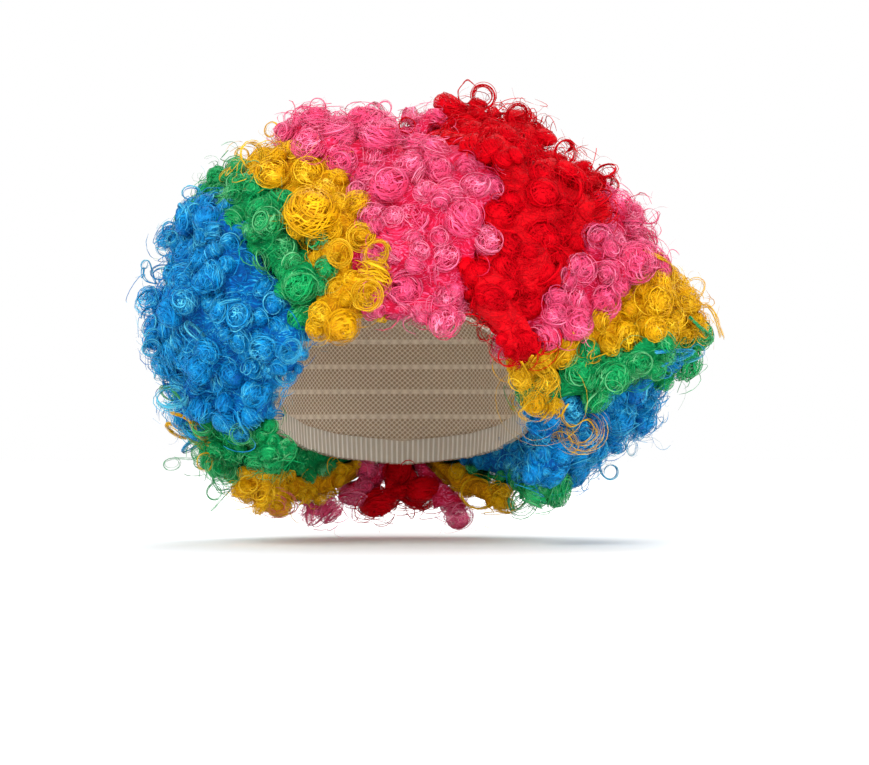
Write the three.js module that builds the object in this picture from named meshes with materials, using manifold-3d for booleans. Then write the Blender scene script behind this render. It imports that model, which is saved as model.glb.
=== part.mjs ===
// A curly clown wig for a child's head: a stretch cap with an elastic band inside its edge,
// and sixteen coloured sections of hair that lie round it like the rays of a fan. Each section
// is a wedge of the hair with its curled locks fused on.
// Millimetres, +Z up. The face opening looks along -Y. The origin is the inside of the cap
// where the crown of the head meets it.
import * as THREE from "three";
import { mergeVertices } from "three/addons/utils/BufferGeometryUtils.js";
import Module from "manifold-3d";

const wasm = await Module();
wasm.setup();

// The head that the cap is cut for
const headHalfWidth = 72;
const headHalfLength = 90;
const headCrown = 82; // crown down to the widest level
const headLower = 160; // half height of the head's shape below that level
const headFacets = 24; // flat faces round the head

// The cap and its band
const capWall = 1.5;
const capEdgeFront = 44; // crown down to the edge at the forehead
const capEdgeNape = 126; // crown down to the edge at the nape
const bandWall = 1.2;
const bandWidth = 12;
const clearance = 0.3; // between pieces that touch
const tidiness = 0.05; // slivers finer than this are merged into their neighbours

// The hair, measured from an axis that runs from the face to the nape
const axisDrop = 101; // crown down to the axis
const axisBack = 10; // the hair's widest place, behind the crown
const hairAtSides = 78; // from the head's side to the hair's surface, between the curls
const hairAtFront = 27; // from the forehead
const hairAtBack = 56; // from the back of the head
const hairReach = headHalfWidth + hairAtSides; // from the axis
const hairFront = headHalfLength + hairAtFront + axisBack; // from the widest place
const hairBack = headHalfLength + hairAtBack - axisBack;
const hairFullness = 2.3; // power of the hair's side outline: 2 is an ellipse
const hairStations = [-86, -56, -26, 0, 26, 56, 86]; // sections along it, -90 is its front
const hairFacets = 20; // flat faces round it

// The opening for the face
const templeCover = 10; // how much of the head's side the hair covers, seen from the front
const faceHalfWidth = headHalfWidth - templeCover;
const fringeDrop = 49; // crown down to the middle of the fringe
const faceBack = 5; // where the opening ends, behind the crown
const openingBottom = 210; // past the lowest hair
const faceSteps = 14; // points along the opening's outline

// The curled locks
const lockRadius = 13;
const lockRise = 7; // height of a lock's crest over the hair's surface
const lockDimple = 3.5; // depth of the hollow at its centre
const lockSeat = 0.5; // depth of a lock's rim below the hair's surface
const lockRoot = 6; // how deep a lock is rooted in the hair
const lockSpacing = 27;
const lockSides = 6;
const lockSmallest = 0.88; // shares of lockRadius for the locks that fill the hair
const lockLargest = 1.14;
const lockCrest = 0.6; // share of a lock's radius at which it is highest
const lockLean = 0.35; // how far its axis may lean from the hair's normal
const lockTries = 3000; // places along the spiral that are looked at

// The hair's outline from the front, a row for each direction round the axis, in degrees
// from the wearer's left. reach is a share of hairReach, front of hairFront, back of hairBack.
const outline = [
  { direction: -60, reach: 0.4, front: 0.42, back: 0.9 },
  { direction: -24, reach: 0.55, front: 0.56, back: 0.95 },
  { direction: -8, reach: 0.81, front: 0.66, back: 0.98 },
  { direction: 5, reach: 0.82, front: 0.74, back: 1 },
  { direction: 17, reach: 1.02, front: 0.82, back: 1 },
  { direction: 30, reach: 1, front: 0.89, back: 1 },
  { direction: 50, reach: 1.02, front: 0.96, back: 1 },
  { direction: 74, reach: 1.07, front: 1, back: 1 },
  { direction: 90, reach: 0.97, front: 1, back: 1 },
  { direction: 108, reach: 1.03, front: 1, back: 1 },
  { direction: 135, reach: 0.97, front: 0.94, back: 1 },
  { direction: 150, reach: 0.94, front: 0.88, back: 1 },
  { direction: 168, reach: 0.79, front: 0.79, back: 0.98 },
  { direction: 186, reach: 0.68, front: 0.68, back: 0.96 },
  { direction: 204, reach: 0.55, front: 0.56, back: 0.94 },
  { direction: 222, reach: 0.47, front: 0.46, back: 0.92 },
  { direction: 262, reach: 0.36, front: 0.36, back: 0.9 },
];

// The cap's edge, a row for each direction round the head from the forehead to the nape.
// drop is a share of the way from capEdgeFront to capEdgeNape.
const capEdge = [
  { direction: 0, drop: 0 },
  { direction: 40, drop: 0.16 },
  { direction: 75, drop: 0.58 },
  { direction: 100, drop: 0.68 },
  { direction: 140, drop: 0.92 },
  { direction: 180, drop: 1 },
];

// The outline of the face opening from the front, from the wearer's right ear over the
// forehead to the left ear. across is a share of faceHalfWidth. down is measured from the
// fringe, as a share of the way from the fringe to the axis.
const faceOpening = [
  { across: -1, down: 1.3 },
  { across: -0.98, down: 0.55 },
  { across: -0.72, down: 0.22 },
  { across: -0.3, down: 0.02 },
  { across: 0.15, down: 0.06 },
  { across: 0.55, down: -0.04 },
  { across: 0.8, down: 0.3 },
  { across: 0.95, down: 0.8 },
  { across: 1.18, down: 1.3 },
];

// The hair's sections. Each starts at the given direction, in degrees, and ends where the
// next one starts. front, middle, side and back are places along the axis. Behind the ears
// the line that the sections spread from sinks to the nape, where they all meet.
const sections = [
  { name: "blue_right", front: -22, middle: -22, side: -23, back: -10 },
  { name: "green_right", front: -8, middle: 5, side: 11, back: 8 },
  { name: "yellow_right", front: -4, middle: 17, side: 17, back: 26 },
  { name: "pink_right", front: 25, middle: 27, side: 33, back: 44 },
  { name: "red_front", front: 30, middle: 40, side: 49, back: 62 },
  { name: "pink_left", front: 59, middle: 67, side: 84, back: 97 },
  { name: "yellow_left", front: 108, middle: 101, side: 111, back: 120 },
  { name: "green_left", front: 131, middle: 117, side: 122, back: 138 },
  { name: "blue_left", front: 141, middle: 131, side: 129, back: 154 },
  { name: "green_back_left", front: 187, middle: 183, side: 179, back: 186 },
  { name: "yellow_back_left", front: 201, middle: 199, side: 197, back: 203 },
  { name: "pink_back_left", front: 212, middle: 210, side: 208, back: 222 },
  { name: "red_back", front: 240, middle: 238, side: 232, back: 246 },
  { name: "pink_back_right", front: 300, middle: 300, side: 298, back: 292 },
  { name: "yellow_back_right", front: 318, middle: 318, side: 314, back: 314 },
  { name: "green_back_right", front: 330, middle: 330, side: 327, back: 332 },
];

// The places of front, middle, side and back along the axis, as shares of hairFront (minus)
// and hairBack (plus) from the widest place
const places = { front: -0.86, middle: -0.58, side: 0, back: 0.75 };
const napeSink = 15; // from the axis down to where the sections meet at the nape
const wedgeReach = 2.4; // a wedge's size as a share of hairReach, past all the hair
const wedgeEnds = 1.6; // shares along the axis at which it starts and ends, past all the hair
const wedgeLap = 10; // degrees by which it laps over the section before it

// Locks that stand out on the front. direction is in degrees, out is the share of the way
// from the axis to the hair's outline, and size is a share of lockRadius.
const standingLocks = [
  { section: "pink_left", direction: 106, out: 0.92, size: 0.95 },
  { section: "pink_left", direction: 95, out: 0.94, size: 0.95 },
  { section: "pink_left", direction: 91, out: 0.8, size: 1 },
  { section: "pink_left", direction: 92, out: 0.63, size: 0.95 },
  { section: "pink_left", direction: 81, out: 0.71, size: 0.95 },
  { section: "pink_left", direction: 72, out: 0.62, size: 0.85 },
  { section: "pink_left", direction: 84, out: 0.53, size: 0.9 },
  { section: "pink_left", direction: 68, out: 0.34, size: 0.8 },
  { section: "yellow_left", direction: 118, out: 0.92, size: 0.95 },
  { section: "yellow_left", direction: 112, out: 0.71, size: 1.15 },
  { section: "yellow_left", direction: 101, out: 0.59, size: 0.8 },
  { section: "yellow_left", direction: 106, out: 0.43, size: 0.75 },
  { section: "yellow_left", direction: 123, out: 0.38, size: 0.85 },
  { section: "green_left", direction: 124, out: 0.77, size: 0.95 },
  { section: "green_left", direction: 124, out: 0.56, size: 0.95 },
  { section: "blue_left", direction: 149, out: 0.66, size: 1 },
  { section: "blue_left", direction: 162, out: 0.79, size: 1 },
  { section: "blue_left", direction: 178, out: 0.74, size: 1.1 },
  { section: "red_front", direction: 69, out: 0.88, size: 1.15 },
  { section: "red_front", direction: 57, out: 0.85, size: 1.15 },
  { section: "red_front", direction: 33, out: 0.46, size: 0.95 },
  { section: "pink_right", direction: 35, out: 0.88, size: 1 },
  { section: "pink_right", direction: 31, out: 0.62, size: 0.95 },
  { section: "yellow_right", direction: 24, out: 0.92, size: 1 },
  { section: "yellow_right", direction: 8, out: 0.5, size: 0.9 },
  { section: "green_right", direction: 11, out: 0.72, size: 1.05 },
  { section: "blue_right", direction: -4, out: 0.8, size: 1.1 },
  { section: "blue_right", direction: -14, out: 0.99, size: 1 },
  { section: "blue_right", direction: 0, out: 0.99, size: 0.9 },
  { section: "yellow_right", direction: 19, out: 0.99, size: 1.1 },
  { section: "pink_right", direction: 43, out: 0.99, size: 1.1 },
  { section: "red_front", direction: 60, out: 0.99, size: 1.1 },
  { section: "red_front", direction: 76, out: 0.99, size: 1.15 },
  { section: "pink_left", direction: 96, out: 0.99, size: 1.1 },
  { section: "pink_left", direction: 109, out: 0.99, size: 1 },
  { section: "yellow_left", direction: 120, out: 0.99, size: 1.1 },
  { section: "blue_left", direction: 134, out: 0.99, size: 1 },
  { section: "blue_left", direction: 148, out: 0.99, size: 1.15 },
  { section: "blue_left", direction: 163, out: 0.99, size: 1.1 },
  { section: "blue_left", direction: 179, out: 0.99, size: 1.1 },
  { section: "green_back_left", direction: 192, out: 0.97, size: 1 },
  { section: "yellow_back_left", direction: 206, out: 0.97, size: 1.1 },
];

const colours = {
  red: 0xd8060f,
  pink: 0xf0568f,
  yellow: 0xf5b800,
  green: 0x14a457,
  blue: 0x0f7cc4,
  cap: 0xcdb69e,
  band: 0xe4dacc,
};

const samePoint = 1e-4; // points nearer than this are one
const degree = Math.PI / 180;
const turn = 360;
const goldenAngle = 137.508;
const hairMiddle = axisBack;
const axisHeight = -axisDrop;

// A smooth curve through a table's rows, as a function of direction. With a period the
// last row leads on to the first.
function curveThrough(rows, column, period = 0) {
  const at = rows.map((row) => row.direction);
  const value = rows.map((row) => row[column]);
  const last = rows.length - 1;
  const slope = (i) => {
    const before = i > 0 ? i - 1 : period ? last : 0;
    const after = i < last ? i + 1 : period ? 0 : last;
    const run = at[after] - at[before] + (before > i ? period : 0) + (after < i ? period : 0);
    return (value[after] - value[before]) / run;
  };
  return (direction) => {
    let x = direction;
    if (period) x = at[0] + ((((x - at[0]) % period) + period) % period);
    let i = 0;
    while (i < last && x >= at[i + 1]) i += 1;
    if (i === last && !period) return value[last];
    const next = i === last ? 0 : i + 1;
    const run = at[next] - at[i] + (next < i ? period : 0);
    const t = (x - at[i]) / run;
    const bend = slope(i) * run * (t - 2 * t * t + t ** 3) + slope(next) * run * (t ** 3 - t * t);
    return value[i] + (value[next] - value[i]) * t * t * (3 - 2 * t) + bend;
  };
}

const reachShare = curveThrough(outline, "reach", turn);
const frontShare = curveThrough(outline, "front", turn);
const backShare = curveThrough(outline, "back", turn);
const edgeShare = curveThrough(capEdge, "drop");

// A number between 0 and 1 that looks random and is the same every time.
function scatter(n, kind) {
  const x = Math.sin(n * 12.9898 + kind * 78.233) * 43758.5453;
  return x - Math.floor(x);
}

// Points of the three surfaces

// A point of the head, grown outwards by offset. across is the direction round the head in
// degrees from the forehead, and down the angle from the crown, 90 at the widest level.
function headPoint(across, down, offset = 0) {
  const half = (down < 90 ? headCrown : headLower) + offset;
  const out = Math.sin(down * degree);
  return new THREE.Vector3(
    (headHalfWidth + offset) * out * Math.sin(across * degree),
    -(headHalfLength + offset) * out * Math.cos(across * degree),
    -headCrown + half * Math.cos(down * degree),
  );
}

// The angle from the crown at which the head lies the given drop below its crown.
function headAngle(drop) {
  if (drop < headCrown) return Math.acos(1 - drop / headCrown) / degree;
  return 90 + Math.asin(Math.min(1, (drop - headCrown) / headLower)) / degree;
}

function capEdgeDrop(across) {
  const folded = Math.abs(((across + 180 + turn) % turn) - 180);
  return capEdgeFront + (capEdgeNape - capEdgeFront) * edgeShare(folded);
}

// A point of the hair's surface between the curls. direction goes round the axis, and along
// from -90 at the front to 90 at the back.
function hairPoint(direction, along, grow = 0) {
  const forward = along < 0;
  const depth = (forward ? hairFront * frontShare(direction) : hairBack * backShare(direction)) + grow;
  const reach = hairReach * reachShare(direction) + grow;
  const power = 2 / hairFullness;
  const y = depth * Math.abs(Math.sin(along * degree)) ** power * (forward ? -1 : 1);
  const out = reach * Math.max(0, Math.cos(along * degree)) ** power;
  return new THREE.Vector3(
    out * Math.cos(direction * degree),
    hairMiddle + y,
    axisHeight + out * Math.sin(direction * degree),
  );
}

function hairNormal(direction, along) {
  const step = 1;
  const round = hairPoint(direction + step, along).sub(hairPoint(direction - step, along));
  const back = hairPoint(direction, along + step).sub(hairPoint(direction, along - step));
  return back.cross(round).normalize();
}

// The outline of the face opening, as points (x, z), grown outwards by offset.
function facePoints(offset = 0) {
  const height = axisDrop - fringeDrop;
  const corners = faceOpening.map(
    (row) => new THREE.Vector2(row.across * faceHalfWidth, -fringeDrop - row.down * height),
  );
  const curve = new THREE.SplineCurve(corners).getPoints(faceSteps);
  const middle = new THREE.Vector2(0, axisHeight);
  const grown = curve.map((p) => {
    const away = p.clone().sub(middle);
    return p.add(away.setLength(offset));
  });
  const first = grown[0];
  const last = grown[grown.length - 1];
  return [
    new THREE.Vector2(first.x, -openingBottom),
    ...grown,
    new THREE.Vector2(last.x, -openingBottom),
  ];
}

function insideOutline(points, x, z) {
  let inside = false;
  points.forEach((a, i) => {
    const b = points[(i + 1) % points.length];
    const crosses = a.y > z !== b.y > z;
    if (crosses && x < a.x + ((b.x - a.x) * (z - a.y)) / (b.y - a.y)) inside = !inside;
  });
  return inside;
}

// Solids

function solidOf(geometry) {
  const bare = geometry.clone();
  bare.deleteAttribute("normal");
  bare.deleteAttribute("uv");
  const merged = mergeVertices(bare, samePoint);
  const corners = merged.index.array;
  const faces = [];
  for (let i = 0; i < corners.length; i += 3) {
    const [a, b, c] = [corners[i], corners[i + 1], corners[i + 2]];
    if (a !== b && b !== c && c !== a) faces.push(a, b, c);
  }
  const solid = new wasm.Manifold(
    new wasm.Mesh({
      numProp: 3,
      vertProperties: new Float32Array(merged.attributes.position.array),
      triVerts: new Uint32Array(faces),
    }),
  );
  return solid;
}

function geometryOf(solid) {
  const { numProp, vertProperties, triVerts } = solid.getMesh();
  const count = vertProperties.length / numProp;
  const position = new Float32Array(count * 3);
  for (let i = 0; i < count; i += 1) {
    position.set(vertProperties.subarray(i * numProp, i * numProp + 3), i * 3);
  }
  const indexed = new THREE.BufferGeometry();
  indexed.setAttribute("position", new THREE.BufferAttribute(position, 3));
  indexed.setIndex(new THREE.BufferAttribute(new Uint32Array(triVerts), 1));
  const flat = indexed.toNonIndexed();
  flat.computeVertexNormals();
  return flat;
}

// A skin through rings of points that all have the same count. The ends are closed by fans,
// or joined to each other. Each quad is split along its shorter diagonal, or all are split
// the same way, so that skins a clearance apart stay parallel.
function skinThrough(rings, { joined = false, shorter = true } = {}) {
  const count = rings[0].length;
  const points = rings.flat();
  const faces = [];
  const bands = joined ? rings.length : rings.length - 1;
  for (let k = 0; k < bands; k += 1) {
    const next = (k + 1) % rings.length;
    for (let i = 0; i < count; i += 1) {
      const j = (i + 1) % count;
      const [a, b, c, d] = [k * count + i, k * count + j, next * count + j, next * count + i];
      const spare = points[b].distanceTo(points[d]) - points[a].distanceTo(points[c]);
      faces.push(...(shorter && spare > samePoint / 100 ? [a, c, b, a, d, c] : [a, d, b, b, d, c]));
    }
  }
  if (!joined) {
    const end = (rings.length - 1) * count;
    for (let i = 1; i < count - 1; i += 1) faces.push(0, i, i + 1, end, end + i + 1, end + i);
  }
  const geometry = new THREE.BufferGeometry().setFromPoints(points);
  geometry.setIndex(faces);
  return geometry;
}

function directions(count) {
  return Array.from({ length: count }, (unused, i) => (turn * i) / count);
}

// Rings round the head from the crown to the band's upper edge and on to the cap's edge.
// The cap, the band and the space in the hair share them, so that their walls are parallel.
function capRings(offset) {
  const rows = 4;
  const rings = Array.from({ length: rows + 1 }, (unused, k) => (across) => {
    return (headAngle(capEdgeDrop(across) - bandWidth) * k) / rows;
  });
  rings.push((across) => headAngle(capEdgeDrop(across)));
  return rings.map((angle) =>
    directions(headFacets).map((across) => headPoint(across, angle(across), offset)),
  );
}

// The cap: an outer skin from the crown to the edge, and an inner skin back up.
function makeCap() {
  return skinThrough([...capRings(capWall), ...capRings(0).reverse()]);
}

// The elastic band, against the inside of the cap's edge.
function makeBand() {
  const outside = capRings(-clearance).slice(-2);
  const inside = capRings(-clearance - bandWall).slice(-2);
  return skinThrough([...outside, ...inside.reverse()], { joined: true });
}

// The space that the cap, the head and the neck take up in the hair.
function makeHeadSpace(offset) {
  const bottom = headAngle(openingBottom);
  const below = [1 / 3, 2 / 3, 1].map((share) =>
    directions(headFacets).map((across) => {
      const edge = headAngle(capEdgeDrop(across));
      return headPoint(across, edge + (bottom - edge) * share, offset);
    }),
  );
  return solidOf(skinThrough([...capRings(offset), ...below]));
}

function makeFaceSpace(offset) {
  const shape = new THREE.Shape(facePoints(offset));
  const depth = faceBack + offset + hairFront + hairMiddle;
  const opening = new THREE.ExtrudeGeometry(shape, { depth, bevelEnabled: false, steps: 1 });
  opening.rotateX(Math.PI / 2);
  opening.translate(0, faceBack + offset, 0);
  return solidOf(opening);
}

// The whole of the hair between the curls, grown outwards and inwards by grow.
function makeHairMass(grow) {
  const round = directions(hairFacets);
  const rings = hairStations.map((along) =>
    round.map((direction) => hairPoint(direction, along, grow)),
  );
  return solidOf(skinThrough(rings))
    .subtract(makeHeadSpace(capWall + clearance - grow))
    .subtract(makeFaceSpace(-grow));
}

// A table's value at a share along the axis, straight between the places.
function alongPlaces(share, value) {
  const names = Object.keys(places);
  const after = names.findIndex((name) => places[name] > share);
  if (after === 0) return value(names[0]);
  if (after < 0) return value(names[names.length - 1]);
  const [a, b] = [names[after - 1], names[after]];
  const t = (share - places[a]) / (places[b] - places[a]);
  return value(a) + (value(b) - value(a)) * t;
}

function placeShare(y) {
  return (y - hairMiddle) / (y < hairMiddle ? hairFront : hairBack);
}

// Where a section starts, in degrees, at the distance y along the axis.
function startAt(section, y) {
  return alongPlaces(placeShare(y), (place) => section[place]);
}

// The height of the line that the sections spread from.
function spreadHeight(y) {
  return axisHeight - alongPlaces(placeShare(y), (place) => (place === "back" ? napeSink : 0));
}

function nextSection(i) {
  if (i < sections.length - 1) return sections[i + 1];
  const { name, ...starts } = sections[0];
  const around = Object.entries(starts).map(([place, start]) => [place, start + turn]);
  return Object.fromEntries(around);
}

// A section's wedge of space. It is grown by drawing its edge back from the line that the
// sections spread from. It laps over the section before it, which is cut away later, so that
// each wall between sections is made only once.
function makeWedge(i, grow) {
  const far = wedgeReach * hairReach;
  const shares = [-wedgeEnds, ...Object.values(places), wedgeEnds];
  const rings = shares.map((share) => {
    const y = hairMiddle + share * (share < 0 ? hairFront : hairBack);
    const from = startAt(sections[i], y) - (i === 0 ? 0 : wedgeLap);
    const to = startAt(nextSection(i), y) + (i === sections.length - 1 ? wedgeLap : 0);
    const drawnBack = grow / Math.sin(((to - from) / 2) * degree);
    const outwards = (direction, distance) =>
      new THREE.Vector3(
        distance * Math.cos(direction * degree),
        0,
        distance * Math.sin(direction * degree),
      );
    const edge = outwards((from + to) / 2, -drawnBack).add(
      new THREE.Vector3(0, y, spreadHeight(y)),
    );
    const arc = [0, 1 / 3, 2 / 3, 1].map((t) => outwards(from + (to - from) * t, far).add(edge));
    return [edge, ...arc];
  });
  return solidOf(skinThrough(rings, { shorter: false }));
}

// The locks

// The angle along the hair at which its surface lies the share out from the axis.
function alongFor(out) {
  return -Math.acos(Math.min(1, out) ** (hairFullness / 2)) / degree;
}

// The name of the section that a point of the hair lies in.
function sectionAt(point) {
  const direction = Math.atan2(point.z - spreadHeight(point.y), point.x) / degree;
  const from = startAt(sections[0], point.y);
  const x = from + ((((direction - from) % turn) + turn) % turn);
  let found = sections[0];
  sections.forEach((section) => {
    if (x >= startAt(section, point.y)) found = section;
  });
  return found.name;
}

function insideHead(point) {
  const half = point.z > -headCrown ? headCrown : headLower;
  const across = point.x / headHalfWidth;
  const length = point.y / headHalfLength;
  return across ** 2 + length ** 2 + ((point.z + headCrown) / half) ** 2 < 1;
}

// All locks with their centre, normal and section. The standing ones come first. The others
// fill the rest of the hair: places along a spiral from front to back are taken where no
// lock is nearer than the spacing.
function placeLocks() {
  const placed = standingLocks.map((row, i) => {
    const along = alongFor(row.out);
    return { ...row, along, centre: hairPoint(row.direction, along), seed: lockTries + i };
  });
  const opening = facePoints(-lockRadius / 4);
  for (let i = 0; i < lockTries; i += 1) {
    const along = Math.asin((2 * i + 1) / lockTries - 1) / degree;
    const direction = (i * goldenAngle) % turn;
    const centre = hairPoint(direction, along);
    const crowded = placed.some((other) => other.centre.distanceTo(centre) < lockSpacing);
    const inFace = centre.y < faceBack && insideOutline(opening, centre.x, centre.z);
    if (crowded || inFace || insideHead(centre)) continue;
    const size = lockSmallest + (lockLargest - lockSmallest) * scatter(i, 3);
    placed.push({ section: sectionAt(centre), direction, along, centre, size, seed: i });
  }
  return placed;
}

// A lock is a round curl with a hollow at its centre, leaning a little to one side.
function makeLock(lock, grow) {
  const radius = lockRadius * lock.size + grow;
  const crest = lockRise * lock.size + grow;
  const profile = [
    new THREE.Vector2(0, -lockRoot),
    new THREE.Vector2(radius, -lockSeat),
    new THREE.Vector2(lockCrest * radius, crest),
    new THREE.Vector2(0, crest - lockDimple),
  ];
  const curl = new THREE.LatheGeometry(profile, lockSides);
  const normal = hairNormal(lock.direction, lock.along);
  const lean = new THREE.Vector3(
    scatter(lock.seed, 4) - 0.5,
    scatter(lock.seed, 5) - 0.5,
    scatter(lock.seed, 6) - 0.5,
  );
  const axis = normal.clone().addScaledVector(lean, lockLean).normalize();
  const upright = new THREE.Quaternion().setFromUnitVectors(new THREE.Vector3(0, 1, 0), axis);
  curl.applyQuaternion(upright);
  curl.translate(lock.centre.x, lock.centre.y, lock.centre.z);
  return solidOf(curl);
}

function union(solids) {
  return solids.reduce((whole, solid) => whole.add(solid));
}

// The largest single body of a solid. A tip that a neighbour has cut off is left out.
function wholePiece(solid) {
  return solid.decompose().reduce((a, b) => (a.volume() > b.volume() ? a : b));
}

// Each section is trimmed by those before it in the list, with a clearance between them.
function makeSections() {
  const locks = placeLocks();
  const mass = makeHairMass(0);
  const grownMass = makeHairMass(clearance);
  const headSpace = makeHeadSpace(capWall + clearance);
  let before = null;
  return sections.map((section, i) => {
    const own = locks.filter((lock) => lock.section === section.name);
    const wedge = mass.intersect(makeWedge(i, -clearance / 2));
    let solid = union([wedge, ...own.map((lock) => makeLock(lock, 0))]).subtract(headSpace);
    if (before) solid = solid.subtract(before);
    const grownWedge = grownMass.intersect(makeWedge(i, clearance / 2));
    const grown = union([grownWedge, ...own.map((lock) => makeLock(lock, clearance))]);
    before = before ? before.add(grown) : grown;
    return { name: section.name, solid: wholePiece(solid).simplify(tidiness) };
  });
}

// Materials and the assembly

function material(colour, roughness) {
  return new THREE.MeshStandardMaterial({ color: colour, roughness, metalness: 0 });
}

function addMesh(group, name, geometry, look) {
  const mesh = new THREE.Mesh(geometry, look);
  mesh.name = name;
  group.add(mesh);
}

const wig = new THREE.Group();
addMesh(wig, "cap", geometryOf(solidOf(makeCap())), material(colours.cap, 0.9));
addMesh(wig, "edge_band", geometryOf(solidOf(makeBand())), material(colours.band, 0.85));
const hair = new THREE.Group();
makeSections().forEach(({ name, solid }) => {
  const colour = colours[name.split("_")[0]];
  addMesh(hair, `hair_${name}`, geometryOf(solid), material(colour, 0.5));
});
wig.add(hair);

export default wig;
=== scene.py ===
"""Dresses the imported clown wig: curls of fine fibre over its sixteen sections, a knitted net
on its cap and ribbed elastic on its edge.

Sizes in the tables and dataclasses are in millimetres. Meshes are in metres, in the frame of
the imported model: +Z up, the face opening looks along -Y.
"""

import sys
import logging
import math
from dataclasses import dataclass, field, fields
from enum import Enum

import bpy
import numpy as np
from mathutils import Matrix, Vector
from mathutils.bvhtree import BVHTree


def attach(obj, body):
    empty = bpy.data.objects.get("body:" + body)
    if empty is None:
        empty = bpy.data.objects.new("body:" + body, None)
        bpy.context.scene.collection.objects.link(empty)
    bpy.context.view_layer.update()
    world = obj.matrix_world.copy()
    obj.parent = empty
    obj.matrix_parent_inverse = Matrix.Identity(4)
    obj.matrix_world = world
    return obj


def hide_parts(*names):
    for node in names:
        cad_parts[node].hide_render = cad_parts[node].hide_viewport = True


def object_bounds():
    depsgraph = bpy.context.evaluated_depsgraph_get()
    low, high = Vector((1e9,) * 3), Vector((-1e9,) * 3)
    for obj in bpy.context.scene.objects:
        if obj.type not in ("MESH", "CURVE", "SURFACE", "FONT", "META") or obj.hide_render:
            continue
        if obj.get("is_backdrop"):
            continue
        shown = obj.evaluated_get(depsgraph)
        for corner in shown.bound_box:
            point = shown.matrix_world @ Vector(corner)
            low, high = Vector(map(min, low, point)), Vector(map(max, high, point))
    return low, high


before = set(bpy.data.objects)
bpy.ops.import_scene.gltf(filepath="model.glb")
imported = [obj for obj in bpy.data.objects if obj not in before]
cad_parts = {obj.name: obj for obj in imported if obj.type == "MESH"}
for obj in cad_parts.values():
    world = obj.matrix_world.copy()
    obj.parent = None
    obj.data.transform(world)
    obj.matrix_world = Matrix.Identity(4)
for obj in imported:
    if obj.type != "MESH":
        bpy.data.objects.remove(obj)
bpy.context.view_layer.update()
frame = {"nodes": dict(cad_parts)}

log = logging.getLogger("clown_wig")

MM = 0.001
TURN = 2.0 * math.pi
HAIR_PREFIX = "hair_"


# Numbers and arrays


def linear(red: int, green: int, blue: int) -> tuple[float, float, float, float]:
    """A screen colour of 0 to 255 a channel as linear light with full alpha.

    Each channel c is c / 12.92 below 0.04045, and ((c + 0.055) / 1.055) to the power 2.4 above.

    Args:
        red: Red channel.
        green: Green channel.
        blue: Blue channel.

    Returns:
        Red, green, blue and alpha.
    """
    share = np.array([red, green, blue]) / 255.0
    light = np.where(share <= 0.04045, share / 12.92, ((share + 0.055) / 1.055) ** 2.4)
    return (float(light[0]), float(light[1]), float(light[2]), 1.0)


def unit(vectors: np.ndarray) -> np.ndarray:
    """Each vector divided by its length, along the last axis."""
    length = np.linalg.norm(vectors, axis=-1, keepdims=True)
    return vectors / np.maximum(length, 1e-9)


def square_frames(axes: np.ndarray, spin: np.ndarray) -> np.ndarray:
    """A square frame for each axis, turned about it.

    The first side is the axis crossed with whichever of X and Z it is further from, the second
    completes the frame, and both are turned about the axis by the spin.

    Args:
        axes: Unit axes, shape (n, 3).
        spin: Turn about each axis in radians, shape (n,).

    Returns:
        Frames of shape (n, 3, 3). Row 0 and 1 are the sides and row 2 is the axis.
    """
    helper = np.where(np.abs(axes[:, :1]) < 0.8, [[1.0, 0.0, 0.0]], [[0.0, 0.0, 1.0]])
    first = unit(np.cross(axes, helper))
    second = np.cross(axes, first)
    cosine, sine = np.cos(spin)[:, None], np.sin(spin)[:, None]
    return np.stack([cosine * first + sine * second, cosine * second - sine * first, axes], axis=1)


def to_world(local: np.ndarray, frames: np.ndarray) -> np.ndarray:
    """Points or directions turned out of their own frames.

    Args:
        local: Their places in each frame, shape (n, ..., 3).
        frames: The frames, shape (n, 3, 3).

    Returns:
        Places of the shape of local.
    """
    return np.einsum("n...i,nij->n...j", local, frames)


def winding(radius: np.ndarray, angle: np.ndarray, rise: np.ndarray | float) -> np.ndarray:
    """Points at a radius from the Z axis, at an angle round it and as high as rise."""
    return np.stack(np.broadcast_arrays(radius * np.cos(angle), radius * np.sin(angle), rise), axis=-1)


def eased(values: np.ndarray, times: int) -> np.ndarray:
    """Values whose inner ones turn into the mean of themselves and both neighbours.

    Args:
        values: The values, along the first axis.
        times: How often that is done.

    Returns:
        The eased values.
    """
    values = values.copy()
    for _ in range(times):
        values[1:-1] = (values[:-2] + values[1:-1] + values[2:]) / 3
    return values


# Meshes


VARIANTS = 24  # rows of the fibre pattern, from deep to light
ROW_WIDTH = 6.0  # millimetres across a row of the pattern
ROW_LENGTH = 70.0  # millimetres along it
ROW_EDGE = 0.01  # the share of a row that is left free at its start
ROW_USED = 0.98  # the share of it that shows
ROW_STEPS = (0.7549, 0.6180)  # irrational shares that spread the locks along and across a row
LEAST_SHOWN = (0.15, 0.06)  # the least share of a row's length and width that a lock shows
SECTION = np.array([[0.0, 0.6], [0.5, -0.4], [-0.5, -0.4]])  # shares of the width and of the thickness
SIDE_SPANS = np.array([[0.5, 0.0], [0.0, 1.0], [1.0, 0.5]])  # the part of the pattern on each side
END_SPANS = np.array([0.4, 0.5, 0.6])  # the part of it on a lock's two ends
SWELL = 0.05  # how far a shell's radius swells and sinks, as a share of it
SWELL_PHASES = (2.4, 1.7)  # the first swell's phase from shell to shell, and the second's share of it


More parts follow.
